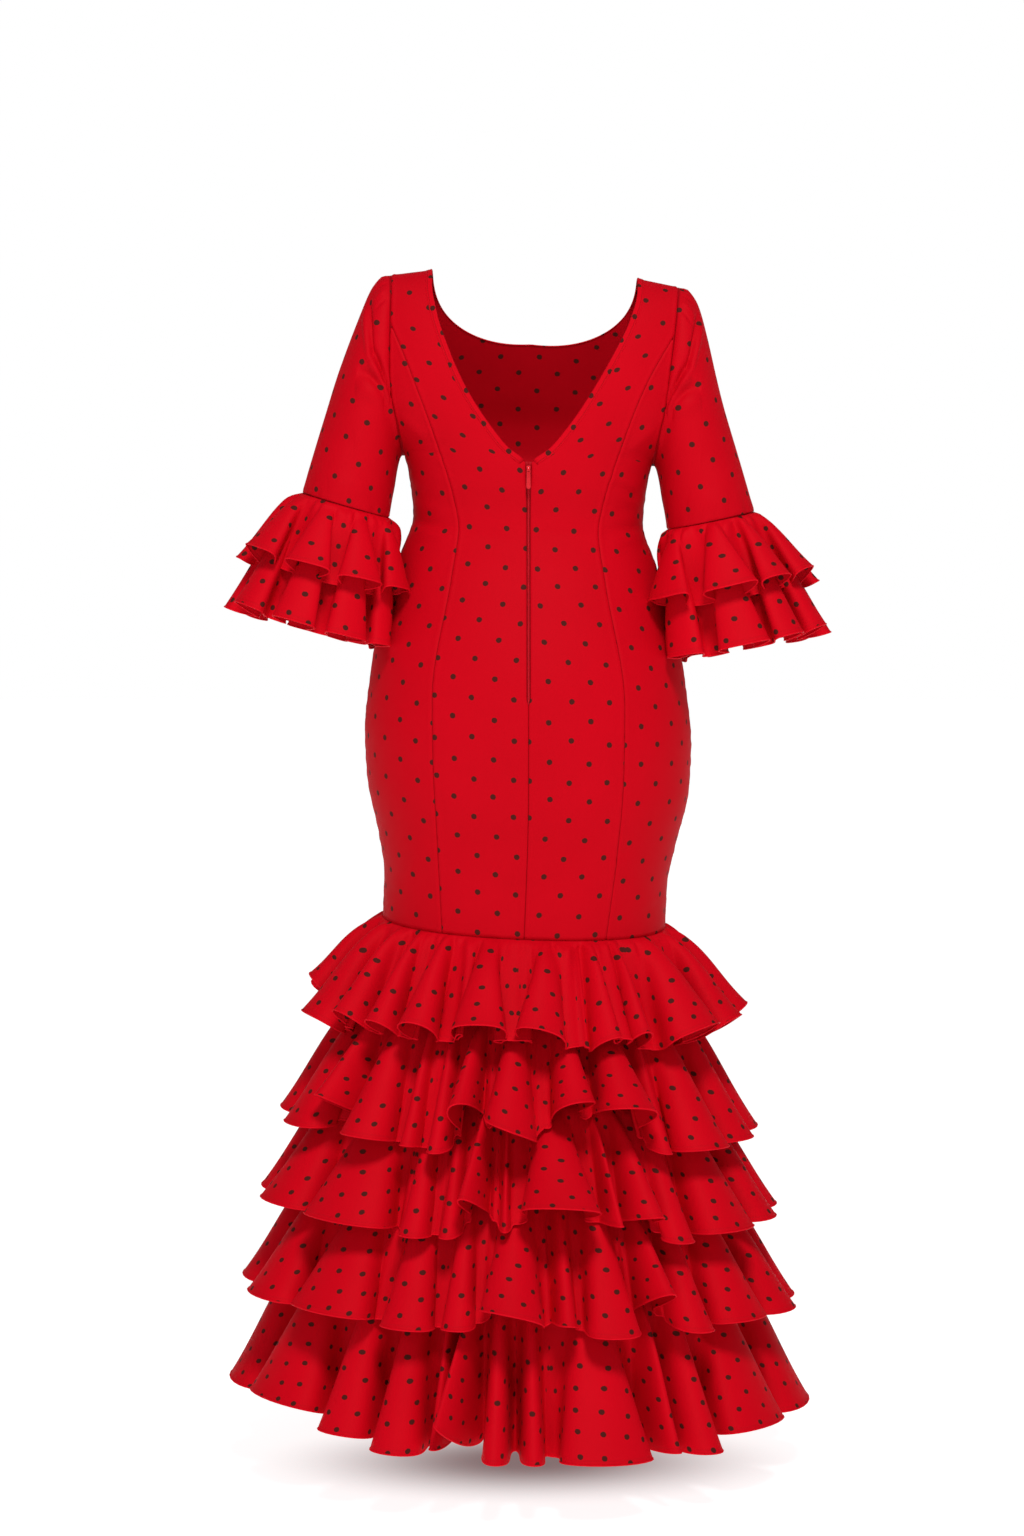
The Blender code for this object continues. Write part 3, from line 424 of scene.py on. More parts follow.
def creases(across, down, rows):
    """How far soft creases lift the cloth. Each runs straight between two places and fades at both ends."""
    lift = 0 * across
    for x, drop, x_end, drop_end, width, height in zip(*rows.values()):
        run = np.array([x_end - x, drop_end - drop])
        share = np.clip(((across - x) * run[0] + (down - drop) * run[1]) / (run @ run), 0, 1)
        apart = np.hypot(across - x - share * run[0], down - drop - share * run[1])
        lift = lift + height * bell(apart / width) * np.sqrt(4 * share * (1 - share))
    return lift


# --- the fitted body ---

SHOULDER_STEPS = (0.0, 0.0004, 0.001, 0.002, 0.0035, 0.006, 0.009, 0.013, 0.018, 0.024, 0.03)
NECK_POINT_STEPS = (0.206, 0.209, 0.212, 0.215, 0.218, 0.2205, 0.223, 0.225, 0.227, 0.229, 0.2315)
PANEL_STEP, LEAST_STEP, LEAST_TOP_STEP = 0.005, 0.001, 0.0003  # between rows
PANEL_COLUMNS, FRONT_COLUMNS = 29, 69
SCOOP_TRIES = 600  # the places on the scoop at which a column may start
ROUND_STEPS, DOWN_STEPS = 40, 400  # in the front's distances round and down
# Where the print lies on the panels, across and down, and how far it shifts on the right ones.
BACK_CENTRE_PRINT, BACK_SIDE_PRINT, FRONT_SIDE_PRINT = 0.006, 0.009, 0.005
FRONT_PRINT = (0.011, 0.02)
PRINT_SHIFT = 0.017
SEAM_DIP, SEAM_WIDE = 0.0009, 0.0014
SEAM_RIDGE, RIDGE_AT, RIDGE_WIDE = 0.0005, 0.0032, 0.0018
PUCKER, PUCKER_LONG, PUCKER_WIDE = 0.0004, 0.017, 0.011

# Soft creases on the back, in distances from the centre line, towards the wearer's left, and drops.
BACK_CREASES = table(
    "x       drop    x_end   drop_end  width   lift",
    (0.1440, 0.3065, 0.0840, 0.3150,   0.0045, -0.0022),
    (0.1440, 0.3200, 0.0940, 0.3270,   0.0060, 0.0014),
    (0.0920, 0.3150, 0.0260, 0.3220,   0.0060, -0.0012),
    (0.1400, 0.2860, 0.1020, 0.2920,   0.0070, 0.0014),
    (-0.0880, 0.3100, -0.1420, 0.3020, 0.0045, -0.0022),
    (-0.0980, 0.3230, -0.1400, 0.3160, 0.0060, 0.0016),
    (-0.1040, 0.2490, -0.1380, 0.2670, 0.0040, -0.0022),
    (-0.0960, 0.2390, -0.1320, 0.2580, 0.0050, 0.0016),
    (-0.1060, 0.2790, -0.1400, 0.2860, 0.0050, -0.0014),
    (-0.0180, 0.3120, -0.0780, 0.3160, 0.0070, -0.0010),
    (0.1560, 0.1780, 0.1240, 0.2060,   0.0060, 0.0014),
    (-0.1560, 0.1780, -0.1240, 0.2080, 0.0060, 0.0014),
    (0.1200, 0.6900, 0.1600, 0.7600,   0.0140, 0.0020),
    (-0.1150, 0.7000, -0.1550, 0.7650, 0.0140, 0.0022),
    (0.0100, 0.7300, 0.0300, 0.7950,   0.0120, -0.0018),
    (-0.0300, 0.7200, -0.0450, 0.7950, 0.0130, -0.0018),
)
FRONT_CREASES = table(
    "x       drop    x_end   drop_end  width   lift",
    (0.0800, 0.2990, 0.1340, 0.3050,   0.0050, -0.0022),
    (0.0300, 0.3080, 0.0900, 0.3120,   0.0060, -0.0012),
    (-0.0820, 0.3010, -0.1330, 0.3080, 0.0050, -0.0022),
    (-0.0260, 0.3100, -0.0880, 0.3150, 0.0060, -0.0012),
    (0.1450, 0.1500, 0.1050, 0.1750,   0.0070, -0.0016),
    (-0.1450, 0.1520, -0.1050, 0.1790, 0.0070, -0.0016),
    (0.0600, 0.4700, 0.1300, 0.4550,   0.0090, 0.0014),
    (-0.0600, 0.4700, -0.1300, 0.4580, 0.0090, 0.0014),
    (0.0250, 0.7300, 0.0450, 0.7950,   0.0130, -0.0018),
    (-0.0350, 0.7250, -0.0500, 0.7950, 0.0130, -0.0018),
)


def panel_drops(top):
    """The levels of a panel's rows, closer over the shoulder and at the point of the V."""
    even = np.arange(SHOULDER_STEPS[-1] + PANEL_STEP, KNEE_SEAM - PANEL_STEP / 2, PANEL_STEP)
    even = even[np.abs(even - ARMPIT) > LEAST_STEP]
    ends = (ZIP_END, ZIP_END + LEAST_STEP, KNEE_SEAM)
    levels = np.unique(np.round(np.concatenate([SHOULDER_STEPS, NECK_POINT_STEPS, even, ends]), 5))
    return np.concatenate([[top], levels[levels > top + LEAST_TOP_STEP]])


def edge_shares(count):
    """Shares of a width, closer at both edges."""
    return 0.5 - 0.5 * np.cos(np.linspace(0, np.pi, count))


NEARLY_ALL = 0.99999994  # of a ring's half-width, where its cloth ends just short of the side seam


def side_edge(drop):
    """The armhole, and below it the side seam."""
    seam = read(RINGS, "half", drop) * NEARLY_ALL
    return np.where(drop < ARMPIT + ON_EDGE, read(ARMHOLE, "x", drop), seam)


def back_centre_x(drop):
    """The V neck, then the zip's slot, then the centre back seam."""
    closed = ease((drop - V_BOTTOM) / SLOT_CLOSES)
    apart = ease((ZIP_END - drop) / ZIP_POINT)
    folds = ZIP_HALF_SLOT + (ZIP_HALF_CLOSED - ZIP_HALF_SLOT) * closed
    folds = folds * apart + SEAM_GAP / 2 * (1 - apart)
    slot = np.where(drop < ZIP_END + ON_EDGE, folds, SEAM_GAP / 2)
    return np.where(drop < V_BOTTOM, np.maximum(read(BACK_NECK, "x", drop), slot), slot)


def back_princess_x(drop):
    seam = read(BACK_PRINCESS, "x", drop)
    return np.where(drop < BACK_PRINCESS_TOP, read(ARMHOLE, "x", drop), seam)


def front_princess_x(drop):
    seam = read(FRONT_PRINCESS, "x", drop)
    return np.where(drop < FRONT_PRINCESS_TOP, read(ARMHOLE, "x", drop), seam)


def inside(seam):
    return lambda drop: seam(drop) - SEAM_GAP / 2


def outside(seam):
    return lambda drop: seam(drop) + SEAM_GAP / 2


def out_of(points, closed=False):
    """The direction out of a surface whose columns run towards the wearer's left, seen from behind."""
    if closed:
        points = np.concatenate([points[:, -2:-1], points, points[:, 1:2]], axis=1)
    along, down = np.gradient(points, axis=1), np.gradient(points, axis=0)
    out = np.cross(along, down)
    out = out[:, 1:-1] if closed else out
    return out / np.maximum(np.linalg.norm(out, axis=-1, keepdims=True), 1e-12)


def body_cloth(node, points, drop, rows, print_at, turned, places=None):
    """One panel's cloth: its creases, the dips along its seams and its flat cut. places are its points'
    distances across and down, where they aren't those along its rows and down its middle column."""
    middle = points.shape[1] // 2
    run = lengths_along(points, 1)
    across = run - run[:, middle : middle + 1]
    down = lengths_along(points[:, middle : middle + 1], 0) + 0 * across
    if places is not None:
        across, down = places
    from_seam = np.minimum(run, run[:, -1:] - run)
    pucker = uneven(down, PUCKER_LONG, len(node)) * PUCKER * bell(from_seam / PUCKER_WIDE)
    lift = PANEL_OUT + creases(points[..., 0], drop + 0 * across, rows) + pucker
    lift = lift - SEAM_DIP * bell(from_seam / SEAM_WIDE)
    lift = lift + SEAM_RIDGE * bell((from_seam - RIDGE_AT) / RIDGE_WIDE)
    out = out_of(points) * (-1 if turned else 1)
    flat = np.stack([across + print_at[0], print_at[1] - down], axis=-1)
    edge = np.stack([down, from_seam], axis=-1)
    points = points + lift[..., None] * out
    piece = cloth(node, "cloth", points, flat, edge, crepe(), CREPE, turned=turned)


def panel(node, inner_x, outer_x, top, side, front, print_at):
    """A panel from the drop top to the knee seam. Its seams are given as distances from the centre line."""
    drop = panel_drops(top)[:, None]
    inner, outer = angle_at(inner_x(drop), drop, front), angle_at(outer_x(drop), drop, front)
    points = ring(side * (inner + (outer - inner) * edge_shares(PANEL_COLUMNS)[None, :]), drop)
    rows = FRONT_CREASES if front else BACK_CREASES
    body_cloth(node, points, drop, rows, print_at, turned=(side > 0) == front)


def scoop_x(drop):
    share = np.clip(drop / SCOOP_BOTTOM, 0, 1)
    return NECK_HALF * (1 - share**SCOOP_ROUNDNESS) ** (1 / SCOOP_ROUNDNESS)


def front_centre():
    """One piece from princess seam to princess seam. Its columns start at the shoulder seams or the scoop."""
    edge_x = inside(front_princess_x)
    even = panel_drops(0.0)[:, None]
    tries = np.linspace(0, SCOOP_BOTTOM, SCOOP_TRIES)
    scoop = np.pi - angle_at(scoop_x(tries), tries, front=True)
    seam = np.pi - angle_at(edge_x(tries), tries, front=True)
    share = 2 * edge_shares(FRONT_COLUMNS) - 1
    in_neck = np.abs(share)[:, None] * seam < scoop
    last = np.where(in_neck.any(1), len(tries) - 1 - np.argmax(in_neck[:, ::-1], axis=1), 0)
    top = tries[last][None, :]
    drop = np.where(even < BELOW_SCOOP, top + (BELOW_SCOOP - top) * even / BELOW_SCOOP, even)
    angle = np.pi - share[None, :] * (np.pi - angle_at(edge_x(drop), drop, front=True))
    places = front_places(angle, drop)
    body_cloth("front_centre", ring(angle, drop), drop, FRONT_CREASES, FRONT_PRINT, True, places)


def front_places(angle, drop):
    """Distances from the centre front, round at each point's own level, and down from the origin's level."""
    shares = np.linspace(0, 1, ROUND_STEPS)
    steps = np.diff(ring(np.pi + (angle - np.pi)[..., None] * shares, drop[..., None]), axis=-2)
    across = np.sign(np.pi - angle) * np.linalg.norm(steps, axis=-1).sum(-1)
    levels = np.linspace(0, KNEE_SEAM, DOWN_STEPS)
    centre = lengths_along(ring(np.full_like(levels, np.pi), levels)[None], 1)[0]
    return across, np.interp(drop, levels, centre)


def body_panels():
    back_top = BACK_PRINCESS_TOP + SIDE_PANEL_POINT
    front_top = FRONT_PRINCESS_TOP + SIDE_PANEL_POINT
    back_edge, back_seam = inside(back_princess_x), outside(back_princess_x)
    front_seam = outside(front_princess_x)
    for index, (word, side) in enumerate(SIDES):
        shift = PRINT_SHIFT * index
        at_centre = (shift, BACK_CENTRE_PRINT)
        at_back, at_front = (BACK_SIDE_PRINT, shift), (FRONT_SIDE_PRINT, shift)
        panel("back_centre_" + word, back_centre_x, back_edge, 0.0, side, False, at_centre)
        panel("back_side_" + word, back_seam, side_edge, back_top, side, False, at_back)
        panel("front_side_" + word, front_seam, side_edge, front_top, side, True, at_front)
    front_centre()


# --- the neck's stitched edge ---

# The band's section: across from the neck's edge, and out of the panels' middle surface.
BAND_SECTION = table(
    "across   out",
    (-0.0006, -0.0006),
    (-0.0012, 0.0002),
    (-0.0011, 0.0013),
    (-0.0004, 0.0021),
    (0.0005, 0.0022),
    (0.0013, 0.0018),
    (0.0022, 0.0017),
    (0.0034, 0.0018),
    (0.0041, 0.0016),
    (0.0046, 0.0012),
    (0.0051, 0.0015),
    (0.0058, 0.0015),
    (0.0064, 0.0012),
    (0.0067, 0.0006),
)
BAND_STITCH = 0.0084  # from the band's hidden edge over its roll to the stitches
BAND_PRINT = 0.006
BAND_CREPE = 0.0004
BACK_BAND_ROWS, FRONT_BAND_ROWS = 90, 130
BAND_SHARES, BAND_DROPS = (0, 0.1, 0.2, 1), (0, 0.012, 0.1, 1)  # along the band, and down to its end


def neck_band(node, angle, drop, rows, turn, turned):
    """angle and drop give the neck's edge from 0 to 1. turn is the side of it on which the panels lie."""
    v = np.linspace(0, 1, rows)
    edge = ring(angle(v), drop(v))
    along = np.gradient(edge, axis=0)
    out = surface_out(angle(v), drop(v))
    across = turn * unit(np.cross(out, along))
    aside, lift = BAND_SECTION["across"][None, :, None], BAND_SECTION["out"][None, :, None]
    points = edge[:, None] + across[:, None] * aside + out[:, None] * lift
    run = lengths_along(points, 1)
    layout = np.stack(np.broadcast_arrays(lengths_along(edge[None], 1).T, run), axis=-1)
    flat = layout - [0, BAND_PRINT]
    piece = cloth(node, "roll", points, flat, layout, band_crepe(), BAND_CREPE, "edge_band", turned=turned)


def neck_bands():
    for word, side in SIDES:

        def back_angle(v, side=side):
            return side * angle_at(read(BACK_NECK, "x", band_drop(v)), band_drop(v), front=False)

        neck_band("neck_band_back_" + word, back_angle, band_drop, BACK_BAND_ROWS, -side, turned=side < 0)

    def scoop_drop(v):
        return SCOOP_BOTTOM * np.abs(np.cos((2 * v - 1) * math.pi / 2)) ** (2 / SCOOP_ROUNDNESS)

    def scoop_angle(v):
        turned = (2 * v - 1) * math.pi / 2
        x = NECK_HALF * np.abs(np.sin(turned)) ** (2 / SCOOP_ROUNDNESS)
        return np.pi - np.sign(turned) * (np.pi - angle_at(x, scoop_drop(v), front=True))

    neck_band("neck_band_front", scoop_angle, scoop_drop, FRONT_BAND_ROWS, -1, turned=False)


def band_drop(v):
    """From the shoulder seam to just short of the zip, with short steps over the shoulder."""
    return BAND_END * np.interp(v, BAND_SHARES, BAND_DROPS)


# --- the zip ---

TAPE_WIDTH, TAPE_CLOTH, TAPE_IN = 0.012, 0.0007, 0.0022
TAPE_TOP, TAPE_BOTTOM = 0.2285, 0.53
TAPE_ROWS, TAPE_COLUMNS = 90, 7
TEETH_TOP, TEETH_PITCH, TEETH_OUT = 0.2405, 0.00125, -0.0009
HARDWARE_ROUND = 0.0003
TOOTH_HALF, TOOTH_ROUND, TOOTH_SIDES = 0.0016, 0.0004, 7
TOOTH_SHIFT, TOOTH_LEAN = 0.0002, 0.00025


def zip_tapes():
    drop = np.linspace(TAPE_TOP, TAPE_BOTTOM, TAPE_ROWS)[:, None]
    x = np.linspace(SEAM_GAP / 2, TAPE_WIDTH, TAPE_COLUMNS)[None, :]
    layout = np.stack([x + 0 * drop, drop + 0 * x], axis=-1)
    for word, side in SIDES:
        angle = side * angle_at(x, drop, front=False)
        points = ring(angle, drop) - TAPE_IN * surface_out(angle, drop)
        ways = {"slot": "zip_tape", "turned": side < 0}
        piece = cloth("zip_tape_" + word, "weave", points, layout, layout, tape_weave(), TAPE_CLOTH, **ways)


def zip_teeth():
    """The coil's turns, which lie across the gap between the tapes, from the left and the right in turn."""
    shape = bmesh.new()
    bar = {"segments": TOOTH_SIDES, "radius1": TOOTH_ROUND, "radius2": TOOTH_ROUND, "depth": 2 * TOOTH_HALF}
    for turn in range(2 * int((ZIP_END - TEETH_TOP) / TEETH_PITCH)):
        drop = TEETH_TOP + TEETH_PITCH * turn / 2
        side = 1 if turn % 2 else -1
        middle = Vector(posed(ring(0.0, drop))) + Vector(surface_out(0.0, drop)) * TEETH_OUT
        for vertex in bmesh.ops.create_cone(shape, cap_ends=True, **bar)["verts"]:
            x = vertex.co.z
            lean = side * TOOTH_LEAN * x / TOOTH_HALF
            vertex.co = middle + Vector((x + side * TOOTH_SHIFT, vertex.co.y, vertex.co.x + lean))
    mesh = bpy.data.meshes.new("zip_teeth")
    shape.to_mesh(mesh)
    shape.free()
    mesh.shade_smooth()
    piece_of("zip_teeth", mesh, coil_plastic())


# --- the sleeves ---

# Distances round from the shoulder over the back, and down from the armhole seam.
SLEEVE_CREASES = table(
    "u        v       u_end    v_end   width   lift",
    (0.0250,  0.0210, 0.0980,  0.0280, 0.0034, -0.0050),
    (0.0250,  0.0280, 0.0920,  0.0360, 0.0045, 0.0034),
    (0.0850,  0.0290, 0.1760,  0.0030, 0.0034, -0.0075),
    (0.0900,  0.0370, 0.1740,  0.0090, 0.0046, 0.0056),
    (0.0700,  0.0590, 0.1500,  0.0170, 0.0042, -0.0058),
    (0.0760,  0.0700, 0.1560,  0.0260, 0.0060, 0.0032),
    (0.1150,  0.0130, 0.1780,  0.0010, 0.0034, 0.0020),
    (0.0140,  0.0000, 0.0140,  0.0110, 0.0022, -0.0014),
    (0.0290,  0.0000, 0.0258,  0.0130, 0.0022, -0.0018),
    (0.0400,  0.0000, 0.0410,  0.0150, 0.0036, 0.0014),
    (0.0515,  0.0000, 0.0546,  0.0150, 0.0022, -0.0018),
    (-0.0140, 0.0000, -0.0150, 0.0120, 0.0024, -0.0014),
    (-0.0330, 0.0000, -0.0300, 0.0130, 0.0024, -0.0016),
    (0.0600,  0.1700, 0.1150,  0.1500, 0.0110, 0.0016),
    (0.0300,  0.1300, 0.0900,  0.1100, 0.0110, -0.0014),
    (-0.0850, 0.0290, -0.1760, 0.0030, 0.0040, -0.0032),
    (-0.0900, 0.0380, -0.1740, 0.0100, 0.0050, 0.0024),
    (-0.0720, 0.0600, -0.1500, 0.0180, 0.0050, -0.0022),
    (-0.0500, 0.1600, -0.1100, 0.1400, 0.0110, 0.0020),
)


def armhole_point(turn):
    """The sleeve's first ring, just outside the panels' armhole edges. turn is 0 at the shoulder, half a turn
    at the underarm, and positive on the back."""
    middle, half = ARMHOLE_LOW / 2, ARMHOLE_LOW / 2
    drop = middle - half * np.cos(turn)
    at = np.minimum(drop, ARMPIT)
    angle = angle_at(read(ARMHOLE, "x", at), at, front=False)
    across = ring(np.where(np.sin(turn) < 0, np.pi - angle, angle), at)
    under = np.clip((np.pi - np.abs(turn)) / ARMHOLE_FLOOR, 0, 1)
    clear = SLEEVE_CLEAR + UNDERARM_CLEAR * ease((np.abs(turn) - UNDERARM_STARTS) / UNDERARM_TURN)
    return np.stack([across[..., 0] + clear, across[..., 1] * under, across[..., 2] + at - drop], axis=-1)


def sleeve_point(turn, place):
    outer = np.stack([read(SLEEVE, "outer_x", place), -read(SLEEVE, "outer_drop", place)], axis=-1)
    inner = np.stack([read(SLEEVE, "inner_x", place), -read(SLEEVE, "inner_drop", place)], axis=-1)
    middle, half = (outer + inner) / 2, (outer - inner) / 2
    x, z = np.moveaxis(middle + half * np.cos(turn)[..., None], -1, 0)
    sine = np.sin(turn)
    depth = np.where(sine > 0, read(SLEEVE, "back", place), read(SLEEVE, "front", place))
    tube = np.stack([x, depth * sine - read(SLEEVE, "forward", place), z], axis=-1)
    share = ease(place / SLEEVE_HEAD)[..., None]
    return armhole_point(turn) * (1 - share) + tube * share


def mirrored(points, side):
    return points * np.array([side, 1, 1])


SLEEVE_TUCKED_IN, TUCKED_UNDER = 0.0035, 0.0015  # the seam allowance that turns in under the panels
SLEEVE_FULL, SLEEVE_FULLER = 0.0014, 0.0022  # how far its head stands out, and how much more at the shoulder
HEAD_SOON, HEAD_FADES, SHOULDER_TOP = 0.005, 0.03, 0.045
CREASES_SOON = 0.004
SLEEVE_FRONT_COLUMNS, SLEEVE_BACK_COLUMNS = 51, 121
SLEEVE_PLACES = (0, 0.004, 0.01, 0.018, 0.028, *np.linspace(0.04, 0.985, 84), 0.993, 1.0)
HEAD_TURNS, HEAD_REACH = 0.65, 0.013  # over the shoulder the cloth first runs outward
ARM_ROUND = 0.059  # the sleeve's usual distance from its middle line
ARM_MIDDLES = (0.25, 1.0)  # the places between which that line is straight
SLEEVE_PRINT = 0.01  # how much further up the print lies on the right sleeve
# The pull of the ruffles' seam: how high and how long its waves are, and how far up they reach.
PULL_HIGH, PULL_LONG, PULL_REACH, PULL_SEED = 0.0006, 0.02, 0.012, 40


def arm_middle(place):
    outer, under = sleeve_point(np.zeros(1), place), sleeve_point(np.full(1, np.pi), place)
    return (outer + under)[0] / 2


def round_the_arm(points, at_top):
    """Angles round the left sleeve's middle line, from its outer side over the back, and places along it."""
    start, end = (arm_middle(place) for place in ARM_MIDDLES)
    lies = unit(end - start)
    outward = unit(np.cross(lies, [0.0, 1.0, 0.0]))
    outward = outward * np.sign(outward[0])
    backward = np.cross(outward, lies)
    backward = backward * np.sign(backward[1])
    apart = points - start
    turned = np.unwrap(np.arctan2(apart @ backward, apart @ outward), axis=1)
    turned = turned - 2 * np.pi * np.round(turned[:, at_top : at_top + 1] / (2 * np.pi))
    return turned, apart @ lies


def sleeves():
    front, back = np.linspace(-np.pi, 0, SLEEVE_FRONT_COLUMNS), np.linspace(0, np.pi, SLEEVE_BACK_COLUMNS)
    turn = np.concatenate([front[:-1], back])[None, :]
    at_top = len(front) - 1
    at_back = at_top + len(back) // 2
    points = sleeve_point(turn, np.array(SLEEVE_PLACES)[:, None])
    out = -out_of(points, closed=True)
    run = lengths_along(points, 1)
    around = run - run[:, at_top : at_top + 1]
    down = lengths_along(points[:, at_back : at_back + 1], 0) + 0 * around
    end = down[-1:] - down
    turned, along = round_the_arm(points, at_top)
    over_top = HEAD_TURNS * np.minimum(down, HEAD_REACH) * np.maximum(np.cos(turned), 0) ** 2
    full = SLEEVE_FULL + SLEEVE_FULLER * bell(around / SHOULDER_TOP)
    head = full * ease(down / HEAD_SOON) * bell(down / HEAD_FADES)
    lift = creases(around, down, SLEEVE_CREASES) * ease(down / CREASES_SOON)
    lift = lift + head - SEAM_DIP * bell(end / SEAM_WIDE)
    edge = np.stack([around, np.minimum(down, end)], axis=-1)
    edge = np.concatenate([edge[:1], edge])
    for index, (word, side) in enumerate(SIDES):
        pulled = PULL_HIGH * uneven(around, PULL_LONG, PULL_SEED + index) * bell(end / PULL_REACH)
        shaped = points + (lift + pulled)[..., None] * out
        tucked = shaped[:1] + np.array([-SLEEVE_TUCKED_IN, 0, 0]) - TUCKED_UNDER * out[:1]
        shaped = mirrored(np.concatenate([tucked, shaped]), side)
        flat = np.stack([ARM_ROUND * turned, SLEEVE_PRINT * index - along - over_top], axis=-1)
        flat = np.concatenate([flat[:1] + [0, SLEEVE_TUCKED_IN], flat])
        ways = {"closed": True, "turned": side > 0}
        piece = cloth("sleeve_" + word, "cloth", shaped, flat, edge, crepe(), CREPE, **ways)


# --- flounces and sleeve ruffles ---

# The small gathers and the larger folds: their length along the seam, their height, and how far below the
# seam they have risen and have faded.
GATHER_LONG, GATHER_HIGH, GATHER_RISEN, GATHER_FADED = 0.0135, 0.0026, 0.006, 0.018
FOLD_LONG, FOLD_HIGH, FOLD_RISEN, FOLD_FADED = 0.036, 0.0068, 0.014, 0.040
FOLD_SEED = 50
GATHER_ENDS = 0.012  # by the seam's two ends they fade
GATHER_ROWS = (0.0, 0.0012, 0.0026, 0.0042, 0.006, 0.0082, 0.011, 0.0145, 0.0185, 0.0235, 0.0295, 0.0365)
HEM_ROWS = (0.0085, 0.0045, 0.0018, 0.0)  # distances from the hem
ROW_STEP = 0.0085
TURNED_IN = 0.006  # the stretch below a seam over which the cloth comes out from it
HEM_RADIUS = 0.0011
RIPPLE = (0.05, 0.018)  # how uneven a flute's two flanks are, and its crest
PUFF_SOON, PUFF_SCALE, TROUGH_PUFF = 0.7, 2.8, 0.2
UNDERSKIRT_TOP, UNDERSKIRT_END = KNEE_SEAM + 0.001, 1.245
UNDERSKIRT_ROWS, UNDERSKIRT_COLUMNS = 40, 181


class Flutes:
    """The flutes of a flounce, all round, and its cloth below a seam. A phase counts flutes from the first:
    at a whole number it lies in a trough, and halfway between two of them on a crest."""

    def __init__(self, kind, seam, out, down, off, seed, least=None, hidden=Flute(0, 1.0, 0)):
        self.kind, self.seam, self.out, self.down, self.off = kind, seam, out, down, off
        self.seed, self.least = seed, least
        edges = [math.radians(flute.edge) for flute in kind.flutes] or [-math.pi]
        count = kind.front_flutes
        turn = (edges[0] + 2 * math.pi - edges[-1]) / count
        front = [edges[-1] + turn * (k + UNEVEN * math.sin(UNEVEN_STEP * k)) for k in range(1, count)]
        self.edges = np.array(edges + front + [edges[0] + 2 * math.pi])
        columns = np.array([*kind.flutes[:-1], *[hidden] * count]).T
        _, self.reaches, leans, self.lifts, self.tilts, self.fulls, joins = columns
        self.leans, self.joins = np.radians(leans), np.append(joins, 0)
        self.ripples = np.random.default_rng(seed).uniform(-1, 1, (len(self.reaches), 2)) * RIPPLE

    def parted(self, phase):
        flute = np.clip(np.floor(phase).astype(int), 0, len(self.reaches) - 1)
        return flute, phase - flute - 0.5

    def reach(self, phase):
        flute, place = self.parted(phase)
        rise = 0.5 + 0.5 * np.cos(2 * np.pi * place)
        crest = self.kind.crest * self.reaches[flute]
        skewed, doubled = np.moveaxis(self.ripples[flute], -1, 0)
        waves = skewed * np.sin(2 * np.pi * place) + doubled * np.cos(6 * np.pi * place)
        ripple = np.cos(np.pi * place) ** 2 * waves
        trough = self.kind.trough + (crest - self.kind.trough) * self.joined(phase)
        return trough + (crest - trough) * rise + (crest - self.kind.trough) * ripple

    def joined(self, phase):
        """How far a trough stays filled, at the phases near it."""
        flute, place = self.parted(phase)
        return (0.5 - place) * self.joins[flute] + (0.5 + place) * self.joins[flute + 1]

    def even_angle(self, phase):
        return np.interp(phase, np.arange(len(self.edges)), self.edges)

    def seam_angle(self, phase):
        flute, place = self.parted(phase)
        return self.even_angle(phase) - np.diff(self.edges)[flute] * SEAM_NARROW * np.sin(2 * np.pi * place)

    def hem_angle(self, phase):
        flute, place = self.parted(phase)
        width = np.diff(self.edges)[flute]
        narrow = np.minimum(1, width / FULL_CURL)
        swell = self.kind.swell * self.fulls[flute]
        curl = self.kind.curl * (1 - self.joined(phase))
        turned = swell * np.sin(2 * np.pi * place) + curl * np.sin(4 * np.pi * place)
        lean = self.leans[flute] * np.cos(np.pi * place) ** 2
        return self.even_angle(phase) + width * narrow * turned + lean

    def raised(self, phase):
        """How far lifts and tilts raise the hem, in the troughs by a share of both neighbours' lifts."""
        flute, place = self.parted(phase)
        lifts = self.lifts
        beside = (lifts[flute] + lifts[(flute + np.where(place > 0, 1, -1)) % len(lifts)]) / 2
        at_crest = np.cos(np.pi * place) ** 2
        lifted = lifts[flute] * at_crest + TROUGH_FOLLOWS * beside * (1 - at_crest)
        return lifted + self.tilts[flute] * np.sin(2 * np.pi * place)

    def fall(self, aside, phase):
        """How far the hem hangs below the seam where it stands out by so much."""
        own = np.sqrt(self.kind.length**2 - aside**2)
        at_crest = math.sqrt(self.kind.length**2 - self.kind.crest**2)
        return own + self.kind.level * (at_crest - own) - self.raised(phase)

    def puffed(self, phase, share):
        """How far the cloth stands out below its gathers, at a share of its length."""
        crest = 0.5 + 0.5 * np.cos(2 * np.pi * self.parted(phase)[1])
        crested = TROUGH_PUFF + (1 - TROUGH_PUFF) * crest
        return self.kind.puff * crested * PUFF_SCALE * share**PUFF_SOON * (1 - share) ** 2

    def rows(self):
        length = self.kind.length
        middle = np.arange(GATHER_ROWS[-1] + ROW_STEP, length - HEM_ROWS[0] - ROW_STEP / 2, ROW_STEP)
        return np.concatenate([GATHER_ROWS, middle, length - np.array(HEM_ROWS)])

    def gathers(self, run, below):
        """How far the gathers stand out, from the distance along the seam and the distance below it."""
        small = GATHER_HIGH * uneven(run, GATHER_LONG, self.seed) * ease(below / GATHER_RISEN)
        large = FOLD_HIGH * uneven(run, FOLD_LONG, self.seed + FOLD_SEED) * ease(below / FOLD_RISEN)
        both = small * np.exp(-below / GATHER_FADED) + large * np.exp(-below / FOLD_FADED)
        return both * (ease(run / GATHER_ENDS) * ease((run[..., -1:] - run) / GATHER_ENDS))

